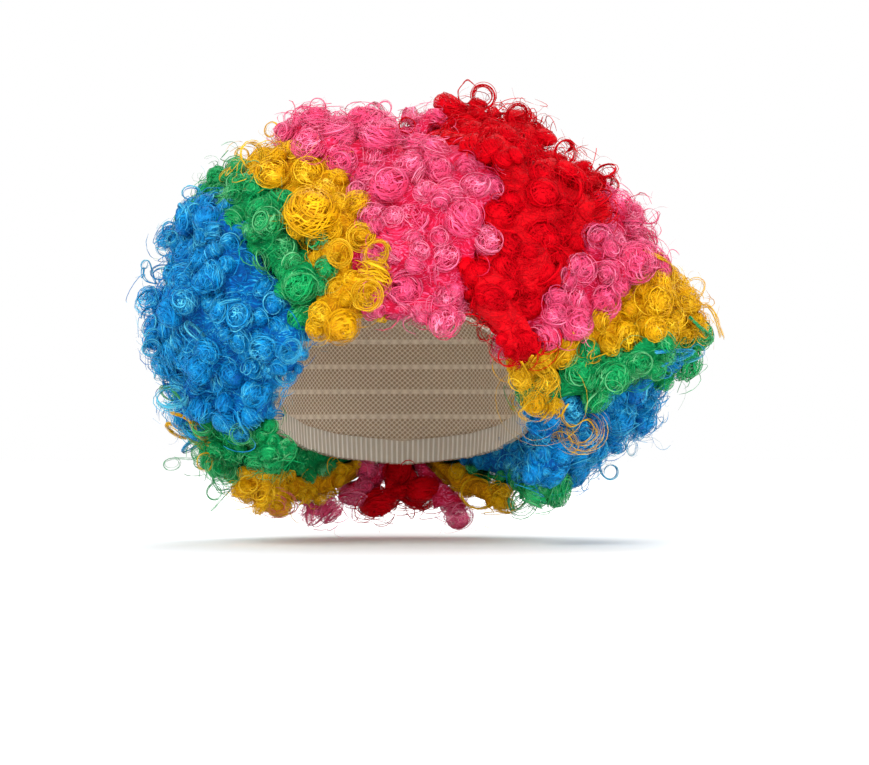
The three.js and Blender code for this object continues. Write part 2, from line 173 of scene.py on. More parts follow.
def uv_places(u: np.ndarray, v: np.ndarray, shape: tuple[int, ...]) -> np.ndarray:
    """The UV places of faces, from u and v spread over a shape.

    Args:
        u: Places along the rows.
        v: Places across the rows.
        shape: The shape of both, with the corners of a face along its last axis.

    Returns:
        Places of shape (faces, corners, 2).
    """
    places = np.stack([np.broadcast_to(u, shape), np.broadcast_to(v, shape)], axis=-1)
    return places.reshape(-1, shape[-1], 2)


@dataclass
class FibreMesh:
    """Gathers locks of fibre, as arrays, into one closed mesh.

    A lock is a flat tube with three sides and a ridge that faces outwards. Its pattern shows
    it as several fibres side by side. It takes one row of the piece's own UV map, and the row
    says how deep or light it is.
    """

    vertices: list[np.ndarray] = field(default_factory=list)
    quads: list[np.ndarray] = field(default_factory=list)
    triangles: list[np.ndarray] = field(default_factory=list)
    quad_uvs: list[np.ndarray] = field(default_factory=list)
    triangle_uvs: list[np.ndarray] = field(default_factory=list)
    count: int = 0

    def add(self, locks: "Locks") -> None:
        """Adds locks that all have the same number of points.

        A corner of a lock lies at path + a * width * side + b * thickness * up, where side is
        the tangent crossed with outwards, up is side crossed with the tangent, and a and b are
        the corner's row of SECTION.

        Args:
            locks: The locks.
        """
        n, m, _ = locks.paths.shape
        if n == 0:
            return
        tangent = unit(np.gradient(locks.paths, axis=1))
        side = unit(np.cross(tangent, locks.outwards))
        up = np.cross(side, tangent)
        width = locks.widths[:, :, None, None]
        thickness = np.minimum(locks.widths, locks.thickness)[:, :, None, None]
        spread = SECTION[:, :1] * width * side[:, :, None] + SECTION[:, 1:] * thickness * up[:, :, None]
        self.vertices.append((locks.paths[:, :, None] + spread).reshape(-1, 3))
        first = self.count + 3 * m * np.arange(n)
        start = first[:, None, None] + 3 * np.arange(m - 1)[None, :, None]
        here = start + np.arange(3)
        beside = start + (np.arange(3) + 1) % 3
        self.quads.append(np.stack([here, beside, beside + 3, here + 3], axis=-1).reshape(-1, 4))
        last = first + 3 * (m - 1)
        self.triangles.append(np.concatenate([first[:, None] + [0, 2, 1], last[:, None] + [0, 1, 2]]))
        self.add_uvs(locks)
        self.count += 3 * m * n

    def add_shells(self, shells: "Shells", sides: int, rings: int) -> None:
        """Adds round shells, each a globe of rings between two poles.

        The point at longitude p and at the angle q from the pole lies at sin(q) * cos(p),
        sin(q) * sin(p) and cos(q) in the shell's frame, times its radii and times
        1 + s * sin(2p + a) * sin(q) + s * sin(3q + b), where s is SWELL and a and b differ from
        shell to shell. A shell fills one row of the pattern: u is the longitude, v the angle.

        Args:
            shells: The shells.
            sides: Points round each ring.
            rings: Bands of faces from pole to pole.
        """
        n = len(shells.variants)
        if n == 0:
            return
        p = TURN * np.arange(sides) / sides
        q = np.concatenate([np.repeat(math.pi * np.arange(1, rings) / rings, sides), [0.0, math.pi]])
        p = np.concatenate([np.tile(p, rings - 1), [0.0, 0.0]])
        way = winding(np.sin(q), p, np.cos(q))
        phase = SWELL_PHASES[0] * np.arange(n)[:, None]
        swell = 1 + SWELL * np.sin(2 * p + phase) * np.sin(q)
        swell = swell + SWELL * np.sin(3 * q + SWELL_PHASES[1] * phase)
        local = way[None] * swell[:, :, None] * shells.radii[:, None]
        points = to_world(local, shells.frames) + shells.centre[:, None]
        self.vertices.append(points.reshape(-1, 3))
        each = (rings - 1) * sides + 2
        first = self.count + each * np.arange(n)[:, None, None]
        here = np.arange(sides)[None, None, :]
        beside = (here + 1) % sides
        level = sides * np.arange(rings - 2)[None, :, None]
        corners = [here + level, here + level + sides, beside + level + sides, beside + level]
        self.quads.append(np.stack([first + corner for corner in corners], axis=-1).reshape(-1, 4))
        bottom = sides * (rings - 2)
        zero = 0 * here
        top_cap = [zero + each - 2, here, beside]
        bottom_cap = [zero + each - 1, beside + bottom, here + bottom]
        caps = [np.stack([first + corner for corner in cap], axis=-1) for cap in (top_cap, bottom_cap)]
        self.triangles.append(np.stack(caps, axis=1).reshape(-1, 3))
        row = shells.variants[:, None, None, None] + ROW_EDGE
        u = np.arange(sides + 1) / sides
        v = ROW_USED * np.arange(rings + 1) / rings
        quad_u = np.stack([u[:-1], u[:-1], u[1:], u[1:]], axis=-1)[None, None]
        quad_v = np.stack([v[1:-2], v[2:-1], v[2:-1], v[1:-2]], axis=-1)[None, :, None]
        self.quad_uvs.append(uv_places(quad_u, quad_v + row, (n, rings - 2, sides, 4)))
        middle = (u[:-1] + u[1:]) / 2
        cap_u = np.stack([[middle, u[:-1], u[1:]], [middle, u[1:], u[:-1]]]).transpose(0, 2, 1)
        cap_v = np.array([[v[0], v[1], v[1]], [v[-1], v[-2], v[-2]]])[:, None]
        self.triangle_uvs.append(uv_places(cap_u[None], cap_v[None] + row, (n, 2, sides, 3)))
        self.count += each * n

    def add_uvs(self, locks: "Locks") -> None:
        """Adds the UV places of locks.

        Each lock shows a piece of its row, as long and as wide as the lock is. The piece starts
        at a share of what is left over: the fraction of the lock's number times an irrational
        number. The under side shows the same fibres as the upper sides.

        Args:
            locks: The locks.
        """
        n, m, _ = locks.paths.shape
        length = np.linalg.norm(np.diff(locks.paths, axis=1), axis=2).sum(axis=1)
        long = np.clip(length / ROW_LENGTH, LEAST_SHOWN[0], 1.0)
        wide = np.clip(locks.widths.max(axis=1) / ROW_WIDTH, LEAST_SHOWN[1], ROW_USED)
        number = np.arange(n) + self.count
        first_u = (number * ROW_STEPS[0]) % 1.0 * (1 - long)
        first_v = locks.variants + ROW_EDGE + (number * ROW_STEPS[1]) % 1.0 * (ROW_USED - wide)
        t = np.arange(m) / (m - 1)
        along = np.stack([t[:-1], t[:-1], t[1:], t[1:]], axis=-1)[None, :, None]
        round_it = SIDE_SPANS[:, [0, 1, 1, 0]]
        u = first_u[:, None, None, None] + long[:, None, None, None] * along
        v = first_v[:, None, None, None] + wide[:, None, None, None] * round_it
        self.quad_uvs.append(uv_places(u, v, (n, m - 1, 3, 4)))
        end_u = np.concatenate([first_u, first_u + long])[:, None] + np.zeros(3)
        end_v = np.tile(first_v, 2)[:, None] + np.tile(wide, 2)[:, None] * END_SPANS
        self.triangle_uvs.append(np.stack([end_u, end_v], axis=-1))

    def build(self, name: str, material: bpy.types.Material) -> bpy.types.Object:
        """Makes the object, with its own UV map.

        Args:
            name: The piece's name.
            material: Its finish.

        Returns:
            The object.
        """
        quads, triangles = np.concatenate(self.quads), np.concatenate(self.triangles)
        mesh = mesh_from(name, np.concatenate(self.vertices) * MM, quads, triangles)
        uvs = np.concatenate([part.reshape(-1, 2) for part in (*self.quad_uvs, *self.triangle_uvs)])
        layer = mesh.uv_layers.new(name="OFBake")
        layer.data.foreach_set("uv", (uvs / [1.0, VARIANTS]).astype(np.float32).ravel())
        mesh.materials.append(material)
        return shown(name, mesh)


@dataclass
class Locks:
    """Locks of fibre with the same number of points each, in millimetres.

    paths and outwards have the shape (n, m, 3), widths (n, m) and variants (n,). outwards is
    the way that each point's ridge faces. No lock is thicker than thickness.
    """

    paths: np.ndarray
    outwards: np.ndarray
    widths: np.ndarray
    thickness: float
    variants: np.ndarray


@dataclass
class Shells:
    """Hollow balls of fibre, in millimetres.

    centre (n, 3), frames (n, 3, 3) with the pole as row 2, radii (n, 3) along the frame's rows,
    and variants (n,).
    """

    centre: np.ndarray
    frames: np.ndarray
    radii: np.ndarray
    variants: np.ndarray


def variant_of(lightness: np.ndarray) -> np.ndarray:
    """The row of the fibre pattern for a lightness from 0 to 1."""
    return np.clip(lightness * VARIANTS, 0, VARIANTS - 1).astype(int)


def mesh_from(name: str, vertices: np.ndarray, quads: np.ndarray, triangles: np.ndarray) -> bpy.types.Mesh:
    """A smooth mesh of four-sided and three-sided faces.

    Args:
        name: The mesh's name.
        vertices: Points in metres, shape (n, 3).
        quads: Corners of the four-sided faces, shape (a, 4).
        triangles: Corners of the three-sided faces, shape (b, 3).

    Returns:
        The mesh.
    """
    corners = np.concatenate([quads.ravel(), triangles.ravel()]).astype(np.int32)
    starts = np.concatenate([4 * np.arange(len(quads)), 4 * len(quads) + 3 * np.arange(len(triangles))])
    mesh = bpy.data.meshes.new(name)
    mesh.vertices.add(len(vertices))
    mesh.vertices.foreach_set("co", vertices.astype(np.float32).ravel())
    mesh.loops.add(len(corners))
    mesh.loops.foreach_set("vertex_index", corners)
    mesh.polygons.add(len(starts))
    mesh.polygons.foreach_set("loop_start", starts.astype(np.int32))
    mesh.polygons.foreach_set("use_smooth", np.ones(len(starts), bool))
    mesh.update(calc_edges=True)
    mesh.validate()
    return mesh


def shown(name: str, mesh: bpy.types.Mesh) -> bpy.types.Object:
    """A new object of that mesh, in the scene."""
    made = bpy.data.objects.new(name, mesh)
    bpy.context.scene.collection.objects.link(made)
    return made


# Shader nodes


class Nodes:
    """Builds the nodes of one tree, with short calls."""

    def __init__(self, tree: bpy.types.NodeTree) -> None:
        """Starts on an empty tree.

        Args:
            tree: A material's node tree or a group.
        """
        self.tree = tree
        tree.nodes.clear()

    def add(self, kind: str, values: dict | None = None, **settings: object) -> bpy.types.Node:
        """Adds a node.

        Args:
            kind: The node's type.
            values: What its inputs get, by name or place: a number, a colour or another socket.
            **settings: Its own settings.

        Returns:
            The node.
        """
        node = self.tree.nodes.new(kind)
        for key, value in settings.items():
            setattr(node, key, value)
        self.feed(node, values or {})
        return node

    def feed(self, node: bpy.types.Node, values: dict) -> None:
        """Gives a node's inputs what they get: a number or a colour on the input itself, or a link.

        Args:
            node: The node.
            values: A number, a colour or another socket for each input, by name or place.
        """
        for key, value in values.items():
            if isinstance(value, bpy.types.NodeSocket):
                self.tree.links.new(value, node.inputs[key])
            else:
                node.inputs[key].default_value = value

    def maths(self, operation: str, *values: object, clamp: bool = False) -> bpy.types.NodeSocket:
        """The result of a Math node."""
        node = self.add("ShaderNodeMath", dict(enumerate(values)), operation=operation, use_clamp=clamp)
        return node.outputs[0]

    def vector(self, operation: str, *values: object) -> bpy.types.Node:
        """A Vector Math node."""
        return self.add("ShaderNodeVectorMath", dict(enumerate(values)), operation=operation)

    def point(self, x: object, y: object, z: object) -> bpy.types.NodeSocket:
        """The vector of three numbers or sockets."""
        return self.add("ShaderNodeCombineXYZ", {0: x, 1: y, 2: z}).outputs[0]

    def direction(self, angle: object, turn: object) -> bpy.types.NodeSocket:
        """The unit vector at an angle from +Z and at a turn about it, both in radians."""
        aside = self.maths("SINE", angle)
        x = self.maths("MULTIPLY", aside, self.maths("COSINE", turn))
        y = self.maths("MULTIPLY", aside, self.maths("SINE", turn))
        return self.point(x, y, self.maths("COSINE", angle))

    def noise(self, place: object, scale: object = 1.0, detail: float = 1.0) -> bpy.types.NodeSocket:
        """Noise about 1 / scale wide, with some detail, as a number."""
        return self.add("ShaderNodeTexNoise", {"Vector": place, "Scale": scale, "Detail": detail}).outputs[0]

    def bump(self, height: object, strength: float, distance: float) -> bpy.types.NodeSocket:
        """The normal of a height, with the distance in metres."""
        values = {"Strength": strength, "Distance": distance, "Height": height}
        return self.add("ShaderNodeBump", values).outputs[0]

    def spread(
        self, value: object, low: float, high: float, to_low: float = 0.0, to_high: float = 1.0
    ) -> bpy.types.NodeSocket:
        """A value moved from one range to another, 0 to 1 unless given, and kept inside it."""
        return self.add("ShaderNodeMapRange", {0: value, 1: low, 2: high, 3: to_low, 4: to_high}).outputs[0]

    def ramp(self, value: object, stops: list[tuple[float, tuple]]) -> bpy.types.NodeSocket:
        """The colour of a value on a ramp.

        Args:
            value: The socket that runs from 0 to 1.
            stops: Places and their colours.

        Returns:
            The colour.
        """
        node = self.add("ShaderNodeValToRGB", {0: value})
        elements = node.color_ramp.elements
        while len(elements) < len(stops):
            elements.new(0.5)
        for element, (place, colour) in zip(elements, stops):
            element.position = place
            element.color = colour
        return node.outputs[0]


def group_tree(
    name: str, inputs: dict[str, str], outputs: dict[str, str]
) -> tuple[Nodes, bpy.types.Node, bpy.types.Node]:
    """An empty node group with named sockets.

    Args:
        name: The group's name.
        inputs: Input names and their socket types.
        outputs: Output names and their socket types.

    Returns:
        Its nodes, its input node and its output node.
    """
    tree = bpy.data.node_groups.new(name, "ShaderNodeTree")
    for socket, kind in inputs.items():
        tree.interface.new_socket(socket, in_out="INPUT", socket_type=kind)
    for socket, kind in outputs.items():
        tree.interface.new_socket(socket, in_out="OUTPUT", socket_type=kind)
    nodes = Nodes(tree)
    return nodes, nodes.add("NodeGroupInput"), nodes.add("NodeGroupOutput")


NUMBER, VECTOR = "NodeSocketFloat", "NodeSocketVector"

# The layers of a lock's pattern as (slant, fineness, step from row to row): two of fibre, one of
# painted highlight fibres and one of shade.
LOCK_LAYERS = ((9.0, 1.0, 7.3), (-13.0, 0.85, 5.1), (5.0, 0.42, 3.9), (0.0, 0.6, 2.3))

# The layers of a ball's pattern as (lean and turn of the pole, fineness): three of fibre and two
# of painted highlight fibres.
BALL_LAYERS = ((0.0, 0.0, 1.0), (0.45, 0.0, 1.0), (0.85, 2.6, 0.9), (0.3, 4.4, 0.7), (0.6, 1.3, 0.65))

# How the three layers of the dense hair are turned, in radians about X, Y and Z.
FELT_TURNS = ((0.3, 0.2, 0.5), (1.2, 0.9, 2.1), (2.0, 2.5, 1.3))


class FibrePattern:
    """A node group that draws fibres on the rows of a piece's UV map.

    Place is the UV map: u runs along a row, and v times VARIANTS is the row's number and the
    place across it. A row's lightness is its place among all rows. Shade, Cover and Relief run
    from 0 to 1.
    """

    def __init__(self, name: str) -> None:
        """Makes the group and splits the place.

        Args:
            name: The group's name.
        """
        values = ("Fineness", "Gap", "Contrast", "Glints")
        inputs = {"Place": VECTOR} | dict.fromkeys(values, NUMBER)
        outputs = dict.fromkeys(("Shade", "Cover", "Relief"), NUMBER)
        self.nodes, given, self.result = group_tree(name, inputs, outputs)
        self.fineness, self.gap, self.contrast, self.glints = (given.outputs[value] for value in values)
        maths = self.nodes.maths
        parts = self.nodes.add("ShaderNodeSeparateXYZ", {0: given.outputs["Place"]})
        height = maths("MULTIPLY", parts.outputs[1], float(VARIANTS))
        self.along = parts.outputs[0]
        self.row, self.across = maths("FLOOR", height), maths("FRACT", height)
        self.lightness = maths("DIVIDE", maths("ADD", self.row, 0.5), float(VARIANTS))

    def finish(
        self,
        lift: bpy.types.NodeSocket,
        bright: bpy.types.NodeSocket,
        drift: bpy.types.NodeSocket,
        gleam: float,
        edge: float,
    ) -> bpy.types.NodeTree:
        """Feeds the group's outputs.

        Args:
            lift: How far the fibre lies over the gap's level. Under it there is none.
            bright: Where the painted highlight fibres run, from 0 to 1.
            drift: Slow noise that shifts the shade.
            gleam: How much lighter a painted highlight fibre is.
            edge: The lift at which a fibre starts to cover.

        Returns:
            The group.
        """
        maths = self.nodes.maths
        # Painted highlights: the bright fibres get lighter by gleam and always cover.
        glint = maths("MULTIPLY", bright, self.glints)
        shift = maths("MULTIPLY", maths("SUBTRACT", drift, 0.5), self.contrast)
        shade = maths("MULTIPLY_ADD", glint, gleam, maths("ADD", self.lightness, shift))
        outputs = {
            "Shade": maths("MAXIMUM", shade, 0.0, clamp=True),
            "Cover": maths("MAXIMUM", self.nodes.spread(lift, edge, 0.03), glint),
            "Relief": self.nodes.spread(lift, 0.0, 0.2),
        }
        self.nodes.feed(self.result, outputs)
        return self.nodes.tree


def lock_fibres() -> bpy.types.NodeTree:
    """The fibres of a lock: two layers that cross it at small opposite slants, and a few bright ones.

    Each layer is noise that is long along the lock and fine across it. Where both lie under the
    gap's level there is no fibre. The bright ones are painted highlights, the peaks of a coarser
    layer. Slower noise shifts the shade, and noise of its own bends all layers alike.

    Returns:
        The group.
    """
    pattern = FibrePattern("lock_fibres")
    nodes, maths, row = pattern.nodes, pattern.nodes.maths, pattern.row
    bend = nodes.noise(nodes.point(maths("MULTIPLY", pattern.along, 9.0), 0.0, maths("MULTIPLY", row, 2.7)))
    across = maths("MULTIPLY_ADD", bend, 6.0, maths("MULTIPLY", pattern.across, pattern.fineness))
    along = maths("MULTIPLY", pattern.along, 4.0)
    layers = []
    for slant, finer, step in LOCK_LAYERS:
        place = maths("MULTIPLY", maths("MULTIPLY_ADD", pattern.along, slant, across), finer)
        layers.append(nodes.noise(nodes.point(along, place, maths("MULTIPLY", row, step))))
    lift = maths("SUBTRACT", maths("MAXIMUM", layers[0], layers[1]), pattern.gap)
    return pattern.finish(lift, nodes.spread(layers[2], 0.6, 0.66), layers[3], gleam=0.35, edge=-0.02)


def ball_fibres() -> bpy.types.NodeTree:
    """The fibres of a ball: arcs that run round it, about its pole and about two that lean from it.

    The place on the globe, from the UV map, gives a direction d. For each pole p the angle
    arccos(d . p) is the same along a circle about it, so noise that is fine in that angle and
    slow in the rest runs along arcs. The highest layer is the fibre on top, and where all lie
    under the gap's level, which is lower in deep rows, there is none. The bright fibres, painted
    highlights, run about two more poles. In odd rows the poles lean less, so the ball looks wound.

    Returns:
        The group.
    """
    pattern = FibrePattern("ball_fibres")
    nodes, maths, row = pattern.nodes, pattern.nodes.maths, pattern.row
    polar = maths("MULTIPLY", nodes.spread(pattern.across, ROW_EDGE, ROW_EDGE + ROW_USED), math.pi)
    way = nodes.direction(polar, maths("MULTIPLY", pattern.along, TURN))
    own = nodes.point(maths("MULTIPLY", row, 3.7), 0.0, 0.0)
    wider = nodes.vector("MULTIPLY", way, (1.1, 1.1, 1.1)).outputs[0]
    bend = nodes.noise(nodes.vector("ADD", wider, own).outputs[0], detail=2.0)
    easing = maths("MULTIPLY_ADD", maths("FRACT", maths("MULTIPLY", row, 0.5)), -1.0, 1.0)
    slow = maths("MULTIPLY", pattern.along, 3.2)
    layers = []
    for lean, turn, finer in BALL_LAYERS:
        pole = nodes.direction(maths("MULTIPLY", easing, lean), maths("MULTIPLY_ADD", row, 2.4, turn))
        off = maths("ARCCOSINE", nodes.vector("DOT_PRODUCT", way, pole).outputs["Value"])
        fine = maths("MULTIPLY", maths("MULTIPLY_ADD", bend, 0.42, off), pattern.fineness)
        place = nodes.point(maths("MULTIPLY", fine, finer), slow, maths("MULTIPLY_ADD", row, 5.3, turn))
        layers.append(nodes.noise(place))
    top = maths("MAXIMUM", maths("MAXIMUM", layers[0], layers[1]), layers[2])
    gap = maths("MULTIPLY_ADD", maths("SUBTRACT", pattern.lightness, 0.5), 0.2, pattern.gap)
    bright = nodes.spread(maths("MAXIMUM", layers[3], layers[4]), 0.67, 0.71)
    return pattern.finish(maths("SUBTRACT", top, gap), bright, bend, gleam=0.3, edge=0.0)


def felted_fibres() -> bpy.types.NodeTree:
    """Fibres that cross in all directions, for the dense hair under the curls.

    Three noises, each long in its own direction and bent by slower noise. The highest of the
    three at each place is the fibre on top.

    Returns:
        The group. Place is in metres. Fibre and Patch run from 0 to 1.
    """
    inputs = {"Place": VECTOR, "Fineness": NUMBER}
    nodes, given, result = group_tree("felted_fibres", inputs, {"Fibre": NUMBER, "Patch": NUMBER})
    place = given.outputs["Place"]
    bend = nodes.add("ShaderNodeTexNoise", {"Vector": place, "Scale": 95.0, "Detail": 1.0}).outputs["Color"]
    aside = nodes.vector("MULTIPLY", bend, (0.016, 0.016, 0.016)).outputs[0]
    bent = nodes.vector("ADD", aside, place).outputs[0]
    layers = []
    for turned in FELT_TURNS:
        values = {"Vector": bent, "Rotation": turned, "Scale": (0.1, 1.0, 1.0)}
        long_one_way = nodes.add("ShaderNodeMapping", values).outputs[0]
        layers.append(nodes.noise(long_one_way, given.outputs["Fineness"]))
    top = nodes.maths("MAXIMUM", nodes.maths("MAXIMUM", layers[0], layers[1]), layers[2])
    patch = nodes.noise(place, 75.0, 2.0)
    nodes.feed(result, {"Fibre": nodes.spread(top, 0.5, 0.72), "Patch": nodes.spread(patch, 0.35, 0.65)})
    return nodes.tree


@dataclass(frozen=True)
class Palette:
    """The three colours of a fibre: between the curls, on them, and where light comes through.

    Red's are nearly alike, because red hair looks almost even.
    """

    # The first colour is painted shade: the fibre where shade falls, between the curls and deep inside them.
    deep_shade: tuple[float, float, float, float]
    body: tuple[float, float, float, float]
    # The last colour is painted light: where light comes through a fibre, and its highlights.
    light: tuple[float, float, float, float]


class HairColour(Enum):
    """The wig's five colours, named as the sections are."""

    RED = "red"
    PINK = "pink"
    YELLOW = "yellow"
    GREEN = "green"
    BLUE = "blue"


PALETTES = {
    # Red's first colour is lighter than its body: painted light that evens out the shade between its curls.
    HairColour.RED: Palette(linear(220, 0, 18), linear(190, 0, 15), linear(196, 2, 16)),
    HairColour.PINK: Palette(linear(210, 18, 62), linear(224, 76, 122), linear(241, 138, 168)),
    HairColour.YELLOW: Palette(linear(200, 132, 0), linear(222, 168, 0), linear(244, 200, 44)),
    HairColour.GREEN: Palette(linear(0, 128, 68), linear(6, 158, 84), linear(106, 184, 126)),
    HairColour.BLUE: Palette(linear(0, 84, 160), linear(0, 137, 202), linear(90, 196, 216)),
}


@dataclass(frozen=True)
class FibreFinish:
    """Glossy curled fibre of one colour, for curls and for the dense hair under them."""

    colour: HairColour
    felt: bpy.types.NodeTree
    gap: float = 0.0  # added to the noise's level under which there is no fibre
    contrast: float = 1.0
    # how strong the painted highlight fibres are
    glints: float = 1.0
    depth: float = 0.6  # painted shade of the dense hair between the curls, as a share of the palette's shade colour
    roughness: tuple[float, float] = (0.42, 0.6)  # on top of a fibre and beside it
    specular: float = 0.12
    felt_fineness: float = 900.0
    felt_roughness: float = 0.75  # between the fibres of the dense hair
    felt_specular: float = 0.1

    def curl_material(
        self, kind: str, pattern: bpy.types.NodeTree, fineness: float, gap: float
    ) -> bpy.types.Material:
        """The material of locks or balls: fibres with gaps between them.

        Args:
            kind: The end of the material's name.
            pattern: The group that draws the fibres on the UV map.
            fineness: The pattern's number of fibres.
            gap: The noise's level under which there is no fibre.

        Returns:
            The material.
        """
        material, nodes, shader = blank_material(f"{self.colour.value}_{kind}")
        palette = PALETTES[self.colour]
        values = {
            "Place": nodes.add("ShaderNodeUVMap", uv_map="OFBake").outputs[0],
            "Fineness": fineness,
            "Gap": gap + self.gap,
            "Contrast": self.contrast,
            "Glints": self.glints,
        }
        fibres = nodes.add("ShaderNodeGroup", values, node_tree=pattern).outputs
        smooth, rough = self.roughness
        look = {
            # Painted shade and light: shade 0 takes the palette's shade colour, 1 its light colour for
            # highlights; rows between also vary at random.
            "Base Color": nodes.ramp(
                fibres["Shade"], [(0.0, palette.deep_shade), (0.5, palette.body), (1.0, palette.light)]
            ),
            "Roughness": nodes.spread(fibres["Relief"], 0.0, 1.0, rough, smooth),
            "Alpha": fibres["Cover"],
            "Normal": nodes.bump(fibres["Relief"], 0.4, 0.0003),
            "Specular IOR Level": self.specular,
        }
        nodes.feed(shader, look)
        return material

    def dense_material(self) -> bpy.types.Material:
        """The material of the dense hair under the curls: felted fibre with darker patches.

        Returns:
            The material.
        """
        material, nodes, shader = blank_material(f"{self.colour.value}_dense_hair")
        palette = PALETTES[self.colour]
        place = nodes.add("ShaderNodeTexCoord").outputs["Object"]
        values = {"Place": place, "Fineness": self.felt_fineness}
        felt = nodes.add("ShaderNodeGroup", values, node_tree=self.felt).outputs
        fibre = nodes.maths("MULTIPLY", felt["Fibre"], 0.65)
        shade = nodes.maths("ADD", fibre, nodes.maths("MULTIPLY", felt["Patch"], 0.3), clamp=True)
        # Painted shade: the dense hair lies under and between the curls, so its ramp starts at a darker copy
        # of the shade colour.
        darkest_shade = tuple(channel * self.depth for channel in palette.deep_shade[:3]) + (1.0,)
        stops = [(0.0, darkest_shade), (0.4, palette.deep_shade), (0.75, palette.body), (1.0, palette.light)]
        look = {
            "Base Color": nodes.ramp(shade, stops),
            "Roughness": nodes.spread(felt["Fibre"], 0.0, 1.0, self.felt_roughness, self.roughness[1]),
            "Normal": nodes.bump(felt["Fibre"], 0.8, 0.0008),
            "Specular IOR Level": self.felt_specular,
        }
        nodes.feed(shader, look)
        return material


class HairMaterials:
    """The materials of all colours, each made once: locks, balls and dense hair."""

    def __init__(self) -> None:
        """Makes them. Red is closer, duller and more even than the rest."""
        strands, globes, felt = lock_fibres(), ball_fibres(), felted_fibres()
        finishes = {colour: FibreFinish(colour, felt) for colour in HairColour}
        finishes[HairColour.RED] = FibreFinish(
            HairColour.RED, felt, gap=-0.06, contrast=0.5, glints=0.4, depth=0.9, specular=0.03
        )
        self.locks, self.balls, self.dense = {}, {}, {}
        for colour, finish in finishes.items():
            self.locks[colour] = finish.curl_material("locks", strands, fineness=20.0, gap=0.54)
            self.balls[colour] = finish.curl_material("balls", globes, fineness=18.0, gap=0.6)
            self.dense[colour] = finish.dense_material()


def blank_material(name: str) -> tuple[bpy.types.Material, Nodes, bpy.types.Node]:
    """A material with a Principled BSDF and nothing else.

    Args:
        name: The material's name.

    Returns:
        The material, its nodes and its shader.
    """
    material = bpy.data.materials.new(name)
    material.use_nodes = True
    nodes = Nodes(material.node_tree)
    shader = nodes.add("ShaderNodeBsdfPrincipled")
    nodes.add("ShaderNodeOutputMaterial", {"Surface": shader.outputs[0]})
    return material, nodes, shader


# Where the curls sit


class CurlKind(Enum):
    """How a curl lies on the hair."""

    BALL = 0  # rings round a ball, seen end-on
    COIL = 1  # seen from its side, like a short spring
    RING = 2  # an open loop that stands up


# The curls that stand out from the front, section by section, as (across, up, size).
SEEN_CURLS = {
    "pink_left": [
        (-47, 38, 17), (-44, 51, 14), (-18, 49, 21), (-31, 29, 18), (-6, 18, 18), (18, 24, 18),
        (5, 0, 19), (32, 1, 20), (20, -10, 12), (22, -20, 15), (2, -36, 18), (24, -40, 15),
        (22, -53, 16), (4, 41, 15), (-15, 1, 15), (-3, -16, 15), (12, 14, 13),
    ],
    "yellow_left": [
        (-65, 23, 17), (-47, 23, 17), (-44, 6, 26), (-22, 7, 16), (-20, -9, 14),
        (-29, -56, 17), (-76, 30, 12), (-31, -37, 13),
    ],
    "green_left": [
        (-68, -2, 16), (-59, -15, 13), (-42, -11, 13), (-51, -34, 18), (-49, -51, 14),
        (-83, 19, 11), (-38, -26, 12),
    ],
    "blue_left": [
        (-82, -50, 15), (-103, -77, 14), (-78, -23, 13), (-69, -35, 12), (-98, -68, 13),
        (-82, -62, 13), (-82, -9, 14), (-91, -104, 14), (-99, 1, 15), (-101, -21, 15),
        (-111, -42, 15), (-70, -67, 15), (-73, -89, 15), (-96, -42, 14),
    ],
    "red_front": [
        (35, 39, 17), (50, 26, 17), (65, 39, 16), (72, 14, 18), (50, 1, 17), (72, -11, 18),
        (55, -24, 17), (45, -42, 15), (65, -42, 17), (60, -64, 14), (80, -6, 15),
    ],
    "pink_right": [
        (119, -22, 21), (99, -10, 16), (91, -26, 17), (90, -53, 18), (103, -42, 17), (109, -4, 14),
    ],
    "yellow_right": [
        (130, -42, 17), (115, -59, 17), (128, -57, 13), (136, -29, 13), (72, -84, 15), (60, -82, 12),
        (66, -94, 13), (76, -97, 12), (58, -92, 10), (70, -73, 13),
    ],
    "green_right": [(107, -82, 18), (89, -77, 16), (120, -74, 14), (95, -67, 13)],
    "blue_right": [
        (92, -112, 18), (110, -102, 16), (118, -89, 14), (100, -124, 15), (123, -104, 13),
        (85, -97, 14), (138, -72, 12), (64, -129, 12), (76, -132, 14), (88, -132, 13),
    ],
    "green_back_left": [(-46, -129, 10), (-39, -127, 10)],
}


